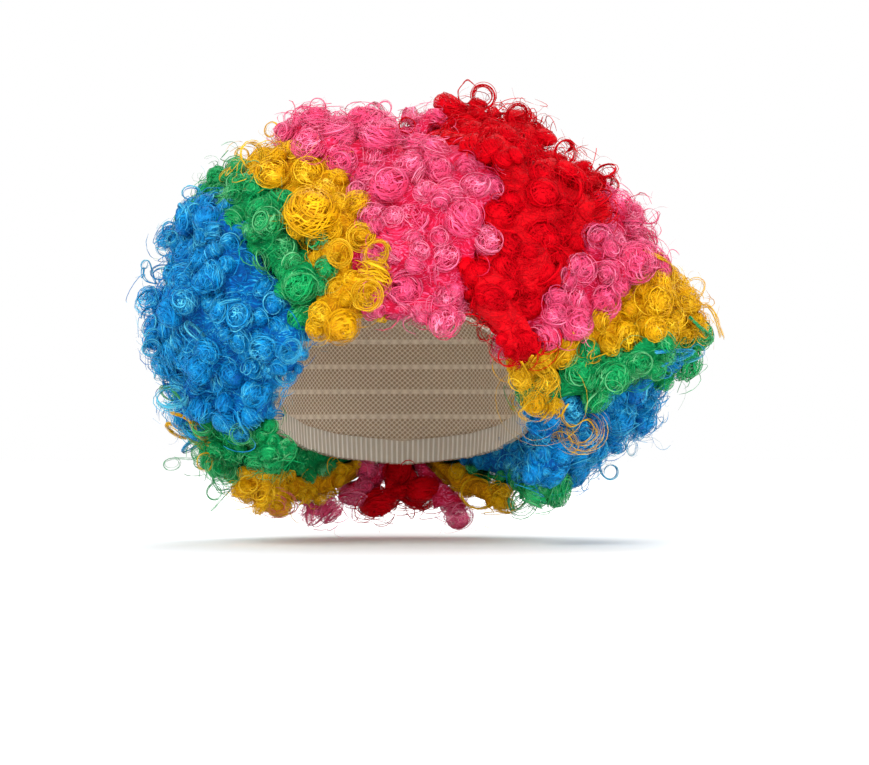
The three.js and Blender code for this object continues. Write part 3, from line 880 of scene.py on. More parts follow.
# The loose loops on the hair and past its outline, by the section that they grow from, as
# (across, up, size), and for some also how many strands and how far they spread.
OUTLINE_LOOPS = {
    "red_front": [
        (41, 61, 12, 12, 0.12), (59, 50, 13, 12, 0.16), (83, 33, 12, 12, 0.08), (97, 17, 11, 9, 0.12),
        (105, 16, 10, 6, 0.08), (3, 46, 8), (17, 44, 8), (54, -70, 11), (49, -64, 9), (41, -58, 9),
    ],
    "pink_right": [(117, 3, 8), (125, 1, 9), (125, -8, 7)],
    "yellow_right": [
        (148, -36, 12), (91, -107, 19, 15, 0.3), (81, -112, 16, 8, 0.3), (66, -80, 17, 18, 0.45),
        (70, -93, 17, 18, 0.45), (62, -74, 12, 8, 0.4), (84, -71, 14, 6, 0.3),
    ],
    "blue_left": [
        (-114, -11, 8, 7, 0.12), (-119, -16, 8, 7, 0.12), (-121, -28, 9, 8, 0.12), (-129, -28, 6),
        (-123, -38, 7, 6, 0.12), (-126, -54, 6, 6, 0.12), (-125, -59, 8), (-125, -66, 9, 9, 0.14),
        (-106, 12, 8), (-55, -67, 13, 10, 0.1), (-104, 4, 7), (-121, -80, 7), (-128, -24, 5),
        (-117, -5, 7, 6, 0.12),
    ],
    "yellow_left": [
        (-89, 22, 8), (-65, 44, 8), (-80, 32, 7), (-31, -18, 13, 14, 0.1), (-12, -18, 12, 12, 0.1),
        (-17, -39, 15, 16, 0.14), (-20, -10, 14, 10, 0.2),
    ],
    "green_left": [(-92, 12, 9, 8, 0.12)],
    "pink_left": [(-55, 50, 8), (-42, 56, 8), (-8, 55, 7)],
    "green_back_left": [
        (-117, -88, 9, 8, 0.12), (-90, -127, 15, 14, 0.2), (-80, -110, 11), (-115, -125, 9), (-94, -138, 8),
    ],
    "yellow_back_left": [
        (-113, -108, 13, 20, 0.08), (-101, -107, 11, 12, 0.2), (-98, -123, 9), (-77, -134, 9),
    ],
    "pink_back_left": [(-63, -144, 14, 10, 0.3)],
    "blue_right": [(116, -116, 8), (132, -77, 8), (149, -67, 7), (105, -128, 8)],
}


# Long strands that run loose, by section: how many fibres, and the corners (across, up).
STRAY_STRANDS = {
    "yellow_right": [
        (10, [
            (119, -15), (127, -19), (136, -23), (137, -41), (141, -48), (154, -43), (158, -49), (161, -60),
        ]),
        (3, [(87, -58), (98, -62), (95, -72), (108, -66), (112, -56)]),
        (3, [(70, -67), (64, -74), (72, -82), (66, -92), (70, -100)]),
        (3, [(79, -66), (72, -72), (80, -80), (73, -88), (76, -97), (70, -103)]),
        (3, [(66, -70), (60, -78), (66, -88), (60, -96)]),
        (3, [(76, -62), (68, -68), (74, -76), (80, -86), (76, -94)]),
        (3, [(60, -72), (64, -80), (58, -86), (64, -92), (58, -98), (64, -102)]),
        (3, [(84, -66), (76, -74), (80, -84), (72, -90), (78, -98), (72, -104)]),
        (4, [(84, -94), (80, -100), (86, -106), (94, -100), (100, -108), (92, -116), (82, -118)]),
    ],
    "green_right": [(14, [(145, -50), (150, -55), (154, -58), (157, -62), (153, -63)])],
    "red_front": [(3, [(30, 56), (28, 64), (33, 70), (38, 66), (36, 58)])],
    "blue_right": [(8, [(128, -68), (138, -67), (148, -67), (140, -71), (132, -74)])],
    "green_back_left": [(5, [(-90, -120), (-96, -130), (-92, -138), (-85, -136), (-90, -142), (-96, -148)])],
    "yellow_back_left": [(12, [(-116, -98), (-107, -101), (-101, -113), (-94, -115)])],
}


@dataclass
class Viewpoint:
    """The camera of the photograph, level and straight on, about two metres away."""

    across: float = 16.8
    away: float = 2090.0
    up: float = -83.0
    scale: float = 1.99  # pixels a millimetre at the wig's middle
    image_width: int = 869
    sensor: float = 36.0

    def place(self) -> np.ndarray:
        """Where the camera is, in millimetres."""
        return np.array([self.across, -self.away, self.up])

    def make(self) -> None:
        """Makes the camera. Its lens is sensor * scale * away / image width."""
        data = bpy.data.cameras.new("camera")
        data.sensor_width = self.sensor
        data.lens = self.sensor * self.scale * self.away / self.image_width
        data.clip_start, data.clip_end = 0.05, 60.0
        camera = bpy.data.objects.new("camera", data)
        camera.location = self.place() * MM
        camera.rotation_euler = (math.pi / 2, 0.0, 0.0)
        bpy.context.scene.collection.objects.link(camera)
        bpy.context.scene.camera = camera


@dataclass
class HairGround:
    """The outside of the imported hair, as points spread evenly over it.

    A point is taken where nothing lies close over it, which leaves out the walls between
    sections and the side that lies on the cap.
    """

    nodes: dict[str, bpy.types.Object]
    tries: int = 16000
    start_gap: float = 0.05  # how far over a point the search for something over it starts
    wall_gap: float = 2.0  # how far it goes
    smoothing: float = 13.0
    batches: int = 16  # the points are smoothed in so many parts, which takes less memory
    axis_height: float = -101.0  # of the line from front to back that the sections fan out from
    inner_limit: float = -0.15  # a normal that faces the line by more than this is on the opening's wall
    seed: int = 11
    points: np.ndarray = field(init=False)
    normals: np.ndarray = field(init=False)
    inner: np.ndarray = field(init=False)  # whether a point is on a wall of the face opening
    sections: np.ndarray = field(init=False)
    names: list[str] = field(init=False)
    tree: BVHTree = field(init=False)  # of all nodes
    hair_tree: BVHTree = field(init=False)  # of the hair alone
    owner: np.ndarray = field(init=False)  # the section of each triangle in it

    def __post_init__(self) -> None:
        """Spreads the points and smooths their normals."""
        rng = np.random.default_rng(self.seed)
        self.names = [name.removeprefix(HAIR_PREFIX) for name in self.nodes if name.startswith(HAIR_PREFIX)]
        parts = [triangles_of(self.nodes[HAIR_PREFIX + name]) for name in self.names]
        corners = np.concatenate(parts)
        self.owner = np.repeat(np.arange(len(parts)), [len(part) for part in parts])
        self.tree = tree_of(np.concatenate([triangles_of(node) for node in self.nodes.values()]))
        self.hair_tree = tree_of(corners)
        cross = np.cross(corners[:, 1] - corners[:, 0], corners[:, 2] - corners[:, 0])
        area = np.linalg.norm(cross, axis=1)
        chosen = rng.choice(len(corners), self.tries, p=area / area.sum())
        first, second = np.sqrt(rng.random(self.tries))[:, None], rng.random(self.tries)[:, None]
        a, b, c = corners[chosen].transpose(1, 0, 2)
        points = (1 - first) * a + first * (1 - second) * b + first * second * c
        normals = unit(cross[chosen])
        clear = np.array([self.is_clear(point, normal) for point, normal in zip(points, normals)])
        self.points, self.sections = points[clear], self.owner[chosen][clear]
        self.normals = self.smoothed(normals[clear])
        from_axis = unit(self.points * [1.0, 0.0, 1.0] - [0.0, 0.0, self.axis_height])
        self.inner = (self.normals * from_axis).sum(axis=1) < self.inner_limit

    def is_clear(self, point: np.ndarray, normal: np.ndarray) -> bool:
        """Whether nothing lies close over a point."""
        start = Vector(point + self.start_gap * normal)
        return self.tree.ray_cast(start, Vector(normal), self.wall_gap)[0] is None

    def smoothed(self, facing: np.ndarray) -> np.ndarray:
        """The mean of the normals near each point, weighted by exp(-(distance / smoothing)^2).

        Args:
            facing: The faces' own normals, shape (n, 3).

        Returns:
            Unit normals, shape (n, 3).
        """
        result = np.empty_like(facing)
        for some in np.array_split(np.arange(len(facing)), self.batches):
            apart = np.linalg.norm(self.points[some, None] - self.points[None], axis=2)
            result[some] = np.exp(-((apart / self.smoothing) ** 2)) @ facing
        return unit(result)

    def seen_at(self, view: Viewpoint, across: float, up: float) -> tuple[np.ndarray, int] | None:
        """The point of the hair that shows at a place of the photograph.

        Args:
            view: The photograph's camera.
            across: Millimetres across at the wig's middle.
            up: Millimetres up at the wig's middle.

        Returns:
            The point and its section's number, or None where no hair shows.
        """
        start = view.place()
        way = unit(np.array([across, 0.0, up]) - start)
        hit, _, face, _ = self.hair_tree.ray_cast(Vector(start), Vector(way))
        return None if hit is None else (np.array(hit), int(self.owner[face]))

    def points_of(self, name: str) -> np.ndarray:
        """The points of one section."""
        return self.points[self.sections == self.names.index(name)]

    def nearest(self, point: np.ndarray) -> int:
        """The number of the nearest point."""
        return int(np.argmin(np.linalg.norm(self.points - point, axis=1)))


def values_of(items: bpy.types.bpy_prop_collection, name: str, kind: type) -> np.ndarray:
    """The three values of that name and kind that each item of a mesh has, shape (n, 3)."""
    values = np.empty(len(items) * 3, kind)
    items.foreach_get(name, values)
    return values.reshape(-1, 3)


def triangles_of(node: bpy.types.Object) -> np.ndarray:
    """The corners of an object's triangles.

    Args:
        node: The object.

    Returns:
        Corners in millimetres, shape (n, 3, 3).
    """
    mesh = node.data
    mesh.calc_loop_triangles()
    corners = values_of(mesh.loop_triangles, "vertices", np.int32)
    return values_of(mesh.vertices, "co", np.float32)[corners].astype(float) / MM


def tree_of(triangles: np.ndarray) -> BVHTree:
    """A search tree of triangles, shape (n, 3, 3)."""
    corners = [tuple(range(3 * i, 3 * i + 3)) for i in range(len(triangles))]
    return BVHTree.FromPolygons([tuple(p) for p in triangles.reshape(-1, 3)], corners)


@dataclass
class Curls:
    """Curls as arrays, a row for each.

    centre and axis have the shape (n, 3) and the rest (n,). seed is how far the curl is turned
    about its axis, in radians.
    """

    centre: np.ndarray
    axis: np.ndarray
    size: np.ndarray
    section: np.ndarray
    kind: np.ndarray
    seed: np.ndarray

    def some(self, chosen: np.ndarray, kind: CurlKind) -> "Curls":
        """The chosen curls of one kind."""
        rows = chosen & (self.kind == kind.value)
        return Curls(*(getattr(self, column.name)[rows] for column in fields(self)))


# Sections whose curls are smaller than the rest, with their share of the usual size.
SIZE_SHARES = {
    "green_left": 0.85, "blue_left": 0.92, "blue_right": 0.86, "green_back_left": 0.72,
    "yellow_back_left": 0.72, "pink_back_left": 0.8,
}


@dataclass
class CurlPlan:
    """Chooses the curls' places: the ones of the table, then large ones, then small ones between."""

    ground: HairGround
    view: Viewpoint
    large: tuple[float, float] = (14.5, 22.0)
    small: tuple[float, float] = (9.5, 13.5)
    inside: float = 0.6  # share of the size that curls on the opening's walls have
    large_spacing: float = 0.43  # of the sum of two sizes
    small_spacing: float = 0.37
    kind_shares: tuple[float, float, float] = (0.73, 0.19, 0.08)  # of the kinds in their order
    ball_lean: float = 0.32
    other_lean: float = 0.25
    seen_lean: float = 0.5  # the share of the lean that a curl of the table has
    seen_turn: float = 0.5  # how far it turns to the camera
    seed: int = 23

    def seen(self) -> list[tuple[np.ndarray, float, int]]:
        """The curls of the table, each where its place in the photograph meets the hair.

        Returns:
            A place, a size and the number of a section for each.
        """
        found = []
        for name, rows in SEEN_CURLS.items():
            for across, up, size in rows:
                seen = self.ground.seen_at(self.view, across, up)
                if seen is not None:
                    found.append((seen[0], float(size), self.ground.names.index(name)))
        return found

    def make(self) -> Curls:
        """Places all curls.

        A place is taken if no curl is nearer than spacing times the sum of both sizes. The axis
        is the hair's normal, turned to the camera for the table's curls, plus a random lean.

        Returns:
            The curls.
        """
        rng, ground = np.random.default_rng(self.seed), self.ground
        shares = np.array([SIZE_SHARES.get(name, 1.0) for name in ground.names])[ground.sections]
        shares = np.where(ground.inner, self.inside, 1.0) * shares
        table = self.seen()
        centre, size, section = (np.array(column) for column in zip(*table))
        for sizes, spacing in ((self.large, self.large_spacing), (self.small, self.small_spacing)):
            order = rng.permutation(len(ground.points))
            drawn = rng.uniform(*sizes, len(order)) * shares[order]
            for i, own in zip(order, drawn):
                apart = np.linalg.norm(centre - ground.points[i], axis=1)
                if (apart > spacing * (size + own)).all():
                    centre = np.vstack([centre, ground.points[i]])
                    size = np.append(size, own)
                    section = np.append(section, ground.sections[i])
        count = len(centre)
        normal = ground.normals[[ground.nearest(point) for point in centre]]
        kind = rng.choice(len(CurlKind), count, p=self.kind_shares)
        kind[: len(table)] = CurlKind.BALL.value
        of_table = (np.arange(count) < len(table))[:, None]
        lean = np.where(kind == CurlKind.BALL.value, self.ball_lean, self.other_lean)[:, None]
        lean = lean * rng.normal(size=(count, 3))
        towards = unit(self.view.place() - centre)
        facing = np.where(of_table, unit(normal + self.seen_turn * towards), normal)
        axis = unit(facing + lean * np.where(of_table, self.seen_lean, 1.0))
        return Curls(centre, axis, size, section, kind, rng.random(count) * 100)


# The curls' shapes


@dataclass(frozen=True)
class CurlStyle:
    """How the curls of one colour are wound.

    crossing is the lean of the bands that cross the others and even that of the rest. lightness
    is the mean shade, and scatter how much it varies from band to band. width is a band's share
    of the curl's size. sink is how deep a curl's middle lies under the surface, as a share of
    its size, and flattening its height as a share of its width. frizz is how many loose fibres
    lie over the section, as a share of the usual.
    """

    crossing: float = 0.8
    even: float = 0.25
    lightness: float = 0.5
    scatter: float = 0.15
    width: tuple[float, float] = (0.05, 0.13)
    sink: float = 0.18
    flattening: float = 0.85
    frizz: float = 1.0


STYLES = {
    HairColour.RED: CurlStyle(
        crossing=1.2, even=0.7, lightness=0.48, scatter=0.1, sink=0.28, flattening=0.65, frizz=2.1
    ),
    HairColour.PINK: CurlStyle(lightness=0.55),
    HairColour.YELLOW: CurlStyle(crossing=0.6, even=0.2),
    HairColour.GREEN: CurlStyle(crossing=0.6, lightness=0.48),
    HairColour.BLUE: CurlStyle(lightness=0.48),
}


@dataclass
class CurlShapes:
    """Works out the locks of every kind of curl, as arrays."""

    rng: np.random.Generator
    style: CurlStyle
    innermost: float = 0.62  # the size of the smallest shell of a curl, as a share of the largest
    turns: float = 1.5  # how often a coil or a ring winds round
    thickness: float = 0.35  # of a lock
    single: tuple[float, float] = (0.3, 0.5)  # the width of a single strand

    def middle(self, curls: Curls) -> np.ndarray:
        """Where the curls' middles are, sunk along their axes."""
        return curls.centre - (self.style.sink * curls.size)[:, None] * curls.axis

    def shells(self, curls: Curls, count: int, wound: bool) -> tuple[Shells, Shells]:
        """Hollow balls one in another: the outer one light and the inner ones deeper and to one side.

        Args:
            curls: The curls.
            count: How many shells each has.
            wound: Whether the fibres all run round the pole, which then lies along the hair. Such
                shells take the odd rows of the pattern.

        Returns:
            The outer shells and the inner ones, one row for each.
        """
        rng, n = self.rng, len(curls.size)
        frames = square_frames(curls.axis, curls.seed)
        frames = frames[:, [1, 2, 0]] if wound else frames
        share = np.linspace(1.0, self.innermost, count)[None, :, None]
        share = share * rng.uniform(0.92, 1.08, (n, count, 3))
        flat = self.style.flattening
        radii = curls.size[:, None, None] / 2 * share * ([flat, flat, 0.96] if wound else [1.0, 1.0, flat])
        aside = rng.normal(0, 1, (n, count, 3)) * (1 - share) * 0.3 * curls.size[:, None, None]
        centre = self.middle(curls)[:, None] + aside
        # Painted shade: smaller inner shells are darker, as shade inside the ball; the normal draws add
        # random tone.
        shade = self.style.lightness - 0.6 * (1 - share[:, :, 0]) + rng.normal(0, 0.06, (n, count))
        shade = shade + rng.normal(0, 0.09, (n, 1))
        rows = variant_of(shade) // 2 * 2 + int(wound)
        spun = np.repeat(frames[:, None], count, axis=1)
        outer, inner = (
            Shells(*(each[:, part].reshape(-1, *each.shape[2:]) for each in (centre, spun, radii, rows)))
            for part in (slice(0, 1), slice(1, count))
        )
        return outer, inner

    def ball(self, curls: Curls, locks: int, points_a_turn: int) -> Locks:
        """Locks that wind round a ball, most of them round the curl's axis and some across.

        Each follows a circle on a sphere. The circle's plane leans by a random angle from the
        curl's own, lies at a random offset from the middle, and drifts along its normal as the
        lock winds. The circle's radius is the root of sphere^2 - offset^2. The first lock is
        the rim. Every fourth lock, where there are so many, winds round a smaller ball that
        sits to one side.

        Args:
            curls: The curls.
            locks: How many locks each has.
            points_a_turn: Points for each turn.

        Returns:
            The locks.
        """
        rng, n, shape = self.rng, len(curls.size), (len(curls.size), locks, 1)
        turns = rng.uniform(0.7, 1.25, shape)
        t = np.linspace(0, 1, points_a_turn + 1)
        half = curls.size[:, None, None] / 2
        number = np.arange(locks)[None, :, None]
        inner = number % 4 == 3
        sphere = half * np.where(inner, rng.uniform(0.45, 0.75, shape), rng.uniform(0.98, 1.12, shape))
        across = rng.random(shape) < 0.35
        lean = rng.normal(0, 1, shape) * np.where(across, self.style.crossing, self.style.even)
        way = rng.random(shape) * TURN
        pole = unit(np.concatenate([lean * np.cos(way), lean * np.sin(way), np.ones(shape)], axis=-1))
        planes = square_frames(pole.reshape(-1, 3), rng.random(n * locks) * TURN).reshape(n, locks, 3, 3)
        level = np.where(number == 0, 0.1, rng.uniform(-0.1, 0.85, shape))
        offset = sphere * (level + rng.uniform(-0.25, 0.25, shape) * (t - 0.5))
        radius = np.sqrt(np.maximum(sphere**2 - offset**2, (0.2 * sphere) ** 2))
        angle = TURN * turns * t
        local = np.einsum("nkmi,nkij->nkmj", winding(radius, angle, offset), planes)
        outward = unit(local)
        turned = rng.random((n, 1, 1)) * TURN
        aside = 0.28 * half * np.concatenate([np.cos(turned), np.sin(turned), 0.5 + 0 * turned], axis=-1)
        local = (local + np.where(inner, aside, 0)[:, :, None]) * [1.0, 1.0, self.style.flattening]
        # Painted shade: the rim lock and the locks that wind low on the ball are darker.
        lighter = -0.06 * (number == 0) - 0.1 * (level < 0.1)
        return self.finish(curls, local, outward, np.broadcast_to(lighter, shape)[:, :, 0])

    def coil(self, curls: Curls, locks: int, points_a_turn: int) -> Locks:
        """Locks that wind like a short spring that lies on the hair.

        The spring's own axis is the curl's first side. The radius bulges at the middle of its
        length, and the locks are spread evenly over each turn's step.

        Args:
            curls: The curls.
            locks: How many locks lie side by side.
            points_a_turn: Points for each turn.

        Returns:
            The locks.
        """
        rng, n, shape = self.rng, len(curls.size), (len(curls.size), locks, 1)
        t = np.linspace(0, 1, int(self.turns * points_a_turn) + 1)
        hand = rng.choice([-1.0, 1.0], (n, 1, 1))
        angle = rng.random((n, 1, 1)) * TURN + hand * TURN * self.turns * t + rng.normal(0, 0.25, shape)
        size = curls.size[:, None, None]
        step = size / self.turns
        place = size * (t - 0.5) + step * (np.arange(locks)[None, :, None] / locks - 0.5)
        radius = 0.43 * size * (1 - 0.9 * (place / size) ** 2) * (1 + rng.normal(0, 0.08, shape))
        bend = rng.uniform(-0.3, 0.3, (n, 1, 1)) * place**2 / size
        local = np.stack([place, radius * np.cos(angle) + bend, radius * np.sin(angle)], axis=-1)
        outward = np.stack([0.2 * place / size, np.cos(angle), np.sin(angle)], axis=-1)
        return self.finish(curls, local, outward, np.zeros(shape[:2]))

    def ring(self, curls: Curls, locks: int, points_a_turn: int) -> Locks:
        """Open loops that rise from the hair and wind round one and a half times.

        The loop lies in the plane of the curl's axis and first side. Its radius shrinks along
        it, and it starts and ends low in the hair.

        Args:
            curls: The curls.
            locks: How many locks lie side by side.
            points_a_turn: Points for each turn.

        Returns:
            The locks.
        """
        rng, n, shape = self.rng, len(curls.size), (len(curls.size), locks, 1)
        t = np.linspace(0, 1, int(self.turns * points_a_turn) + 1)
        first = -0.25 * TURN + rng.normal(0, 0.4, (n, 1, 1))
        angle = first + TURN * self.turns * t + rng.normal(0, 0.1, shape)
        size = curls.size[:, None, None]
        shrink = 1 - rng.uniform(0.05, 0.4, (n, 1, 1)) * t
        radius = 0.46 * size * shrink * (1 + rng.normal(0, 0.12, shape))
        slide = rng.normal(0, 1.3, shape) + rng.uniform(-3, 3, (n, 1, 1)) * t
        local = np.stack([radius * np.cos(angle), slide, radius * np.sin(angle) + 0.35 * size], axis=-1)
        outward = np.stack([np.cos(angle), 0.3 + np.zeros_like(angle), np.sin(angle)], axis=-1)
        # Painted light: the standing loops are a little lighter.
        return self.finish(curls, local, outward, np.full(shape[:2], 0.08))

    def finish(self, curls: Curls, local: np.ndarray, outward: np.ndarray, lighter: np.ndarray) -> Locks:
        """Turns local paths into their place and gives them widths and shades.

        The width is a share of the curl's size, drawn for each lock, and narrows to both ends
        as the fourth root of a sine. Two of every three are single thin strands, a little lighter
        as painted highlights.

        Args:
            curls: The curls.
            local: Paths in each curl's frame, shape (n, k, m, 3).
            outward: Outward directions in the same frame.
            lighter: What each lock's lightness gains, shape (n, k).

        Returns:
            The locks, one row for each.
        """
        n, k, m, _ = local.shape
        frames = square_frames(curls.axis, curls.seed)
        paths = to_world(local, frames) + self.middle(curls)[:, None, None]
        ways = to_world(np.broadcast_to(outward, local.shape), frames)
        taper = 0.3 + 0.7 * np.sin(math.pi * np.linspace(0.0, 1.0, m)) ** 0.25
        wide = self.rng.uniform(*self.style.width, (n, k, 1)) * curls.size[:, None, None]
        thin = self.rng.uniform(*self.single, (n, k, 1))
        single = np.arange(k) % 3 != 1
        widths = np.where(single[None, :, None], thin, wide) * taper
        # Painted highlights: single thin strands are a little lighter.
        shade = self.style.lightness + lighter + 0.06 * single
        shade = shade + self.rng.normal(0, self.style.scatter, (n, k))
        shade = shade + self.rng.normal(0, 0.1, (n, 1))
        return Locks(
            paths.reshape(-1, m, 3),
            ways.reshape(-1, m, 3),
            widths.reshape(-1, m),
            self.thickness,
            variant_of(shade.reshape(-1)),
        )


@dataclass
class LooseFibres:
    """Fibres between the curls and past the hair's outline."""

    ground: HairGround
    seed: int = 5
    rng: np.random.Generator = field(init=False)
    plain_loop: tuple[int, float] = (4, 0.07)  # the strands and spread of a loop with no others given
    loop_gap: float = 6.0  # how far over the hair a loop's middle lies
    stray_gap: float = 4.0  # how far over it a stray strand lies
    stray_depth: float = 45.0  # hair this much further back than a strand's foremost place is left out
    rope: float = 0.5  # the thickness of the locks of loops and stray strands
    hair: float = 0.3  # and of the other loose fibres

    def __post_init__(self) -> None:
        """Starts the random numbers."""
        self.rng = np.random.default_rng(self.seed)

    def roots(self, section: int, count: int, lean: float) -> tuple[np.ndarray, np.ndarray, np.ndarray]:
        """Random places on a section, their normals, and frames that lean from them.

        Args:
            section: The section's number.
            count: How many.
            lean: How far a frame's axis may lean from the normal.

        Returns:
            Places (n, 3), normals (n, 3) and frames (n, 3, 3).
        """
        chosen = self.rng.choice(np.flatnonzero(self.ground.sections == section), count)
        normal = self.ground.normals[chosen]
        axis = unit(normal + self.rng.normal(0, lean, (count, 3)))
        return self.ground.points[chosen], normal, square_frames(axis, self.rng.random(count) * TURN)

    def tangle(self, section: int, count: int, lightness: float) -> Locks:
        """Arcs of fibre that lie across each other just over the dense hair.

        Each is part of a circle in a plane that leans a little from the surface, and its
        radius grows or shrinks along it.

        Args:
            section: The section's number.
            count: How many arcs.
            lightness: The colour's mean lightness.

        Returns:
            The locks.
        """
        rng, t = self.rng, np.linspace(0, 1, 9)
        centre, normal, frames = self.roots(section, count, 0.45)
        radius = rng.uniform(4, 10, (count, 1)) * (1 + rng.uniform(-0.3, 0.3, (count, 1)) * t)
        angle = rng.random((count, 1)) * TURN + rng.uniform(2.2, 4.4, (count, 1)) * t
        lift = rng.uniform(-4.0, 6.5, (count, 1))
        paths = to_world(winding(radius, angle, lift), frames) + centre[:, None]
        widths = rng.uniform(0.2, 0.7, (count, 1)) * (0.3 + 0.7 * np.sin(math.pi * t) ** 0.5)
        # Painted shade: arcs in the dense hair are darker, the more so the lower they lie; the normal draw
        # adds random tone.
        shade = lightness - 0.15 + 0.03 * lift[:, 0] + rng.normal(0, 0.14, count)
        outwards = np.broadcast_to(normal[:, None], paths.shape)
        return Locks(paths, outwards, widths, self.hair, variant_of(shade))

    def loops(self, name: str, view: Viewpoint) -> Locks:
        """The loops of the table that grow from a section.

        A loop's middle lies on the camera's ray through its place in the photograph: just over
        the hair that the ray meets, or else as far back as the section's nearest hair. A strand
        winds round the middle 1.4 times, or less where the loop spreads. What it starts away
        from its root is added with (1 - 3t)^2 over the first third, so it leaves the hair and
        eases into the loop.

        Args:
            name: The section's name.
            view: The photograph's camera.

        Returns:
            The locks.
        """
        rows = [(*row, *self.plain_loop)[:5] for row in OUTLINE_LOOPS.get(name, [])]
        rows = np.array(rows, float).reshape(-1, 5)
        count, rng, t = len(rows), self.rng, np.linspace(0, 1, 26)
        own = self.ground.points_of(name)
        start = view.place()
        way = unit(np.stack([rows[:, 0], np.zeros(count), rows[:, 1]], axis=-1) - start)
        along = (own[None] - start) @ way[:, :, None]
        nearest = np.linalg.norm(own[None] - start - along * way[:, None], axis=2).argmin(axis=1)
        seen = [self.ground.seen_at(view, across, up) for across, up in rows[:, :2]]
        root = [near if hit is None else hit[0] for near, hit in zip(own[nearest], seen)]
        root = np.array(root).reshape(-1, 3)
        over = np.array([0.0 if hit is None else self.loop_gap for hit in seen])
        middle = start + way * ((root[:, 1] - start[1]) / way[:, 1] - over)[:, None]
        frames = square_frames(unit(-way + rng.normal(0, 0.4, (count, 3))), rng.random(count) * TURN)
        drift = rng.uniform(-2.5, 2.5, (count, 1))
        loop = np.repeat(np.arange(count), rows[:, 3].astype(int))
        half, spread = rows[loop, 2, None] / 2, rows[loop, 4, None]
        shape = half.shape
        radius = half * (1 + rng.normal(0, 1, shape) * spread - rng.uniform(0, 0.25, shape) * t)
        towards = np.einsum("ni,nji->nj", root - middle, frames)[loop]
        first = np.arctan2(towards[:, 1:2], towards[:, :1]) - 1.0
        first = first + rng.normal(0, 1, shape) * (0.15 + 2 * spread)
        angle = first + TURN * (1.4 - rng.uniform(0, 2, shape) * spread) * t
        aside = rng.normal(0, 0.5, (len(loop), 2)) * spread * half
        lift = rng.normal(0, 0.5, shape) + drift[loop] * t
        local = winding(radius, angle, lift)
        local[:, :, :2] += aside[:, None]
        paths = to_world(local, frames[loop]) + middle[loop, None]
        paths = paths + (np.clip(1 - 3 * t, 0, 1) ** 2)[:, None] * (root[loop, None] - paths[:, :1])
        widths = rng.uniform(0.35, 0.75, shape) * (1 - 1.4 * spread) * (1 - 0.5 * t)
        outwards = np.broadcast_to(-way[loop, None], paths.shape)
        variants = variant_of(rng.normal(0.64, 0.15, len(loop)))
        return Locks(paths, outwards, widths, self.rope, variants)

    def strays(self, name: str, view: Viewpoint) -> Locks:
        """The long loose strands of the table that grow from a section.

        A strand runs straight from corner to corner, evenly along its length, and its corners
        are eased by the mean of each point and its neighbours. Its fibres lie within a
        millimetre of each other. It lies just over the hair that shows there, and past the
        outline it is as far back as where it leaves the hair, or as the section's nearest hair.

        Args:
            name: The section's name.
            view: The photograph's camera.

        Returns:
            The locks.
        """
        rng, t = self.rng, np.linspace(0, 1, 34)
        own = self.ground.points_of(name)
        start, paths = view.place(), []
        for strands, corners in STRAY_STRANDS.get(name, []):
            table = np.array(corners, float)
            along = np.append(0, np.cumsum(np.linalg.norm(np.diff(table, axis=0), axis=1)))
            flat = np.stack([np.interp(t * along[-1], along, table[:, i]) for i in (0, 1)], axis=-1)
            flat = eased(flat, 2)
            hits = [self.ground.seen_at(view, *spot) for spot in flat]
            back = np.array([np.inf if hit is None else hit[0][1] - self.stray_gap for hit in hits])
            known = np.flatnonzero(np.isfinite(back) & (back < back.min() + self.stray_depth))
            if len(known):
                back = np.interp(np.arange(len(t)), known, back[known])
            else:
                nearest = np.linalg.norm(own[:, [0, 2]] - table[0], axis=1).argmin()
                back = np.full(len(t), own[nearest, 1])
            back = eased(back, 5)
            way = np.stack([flat[:, 0], np.zeros(len(t)), flat[:, 1]], axis=-1) - start
            path = start + way * ((back - start[1]) / way[:, 1])[:, None]
            wander = np.cumsum(rng.normal(0, 0.09, (strands, len(t), 3)), axis=1)
            wander = wander + rng.normal(0, 0.38, (strands, 1, 3))
            paths.append(path + wander)
        paths = np.concatenate(paths) if paths else np.zeros((0, len(t), 3))
        widths = rng.uniform(0.4, 0.8, (len(paths), 1)) * (1 - 0.4 * t)
        outwards = np.broadcast_to([0.0, -1.0, 0.0], paths.shape)
        shade = rng.normal(0.62, 0.12, len(paths))
        return Locks(paths, outwards, widths, self.rope, variant_of(shade))

    def flyaway(self, section: int, count: int) -> Locks:
        """Thin fibres that leave the hair and curl.

        Each rises along its axis and winds round a line beside it, wider as it goes.

        Args:
            section: The section's number.
            count: How many fibres.

        Returns:
            The locks.
        """
        rng, t = self.rng, np.linspace(0, 1, 10)
        centre, normal, frames = self.roots(section, count, 0.5)
        rise = rng.uniform(4, 12, (count, 1)) * t
        radius = rng.uniform(1.5, 6.0, (count, 1)) * t**0.5
        angle = rng.random((count, 1)) * TURN + rng.uniform(2.5, 6.5, (count, 1)) * t
        sway = rng.uniform(-8, 8, (count, 2, 1)) * t**1.5
        local = winding(radius, angle, rise)
        local[:, :, :2] += sway.transpose(0, 2, 1)
        paths = to_world(local, frames) + centre[:, None]
        widths = rng.uniform(0.12, 0.24, (count, 1)) * (1 - 0.6 * t)
        outwards = np.broadcast_to(normal[:, None], paths.shape)
        shade = rng.normal(0.62, 0.15, count)
        return Locks(paths, outwards, widths, self.hair, variant_of(shade))


# The pieces


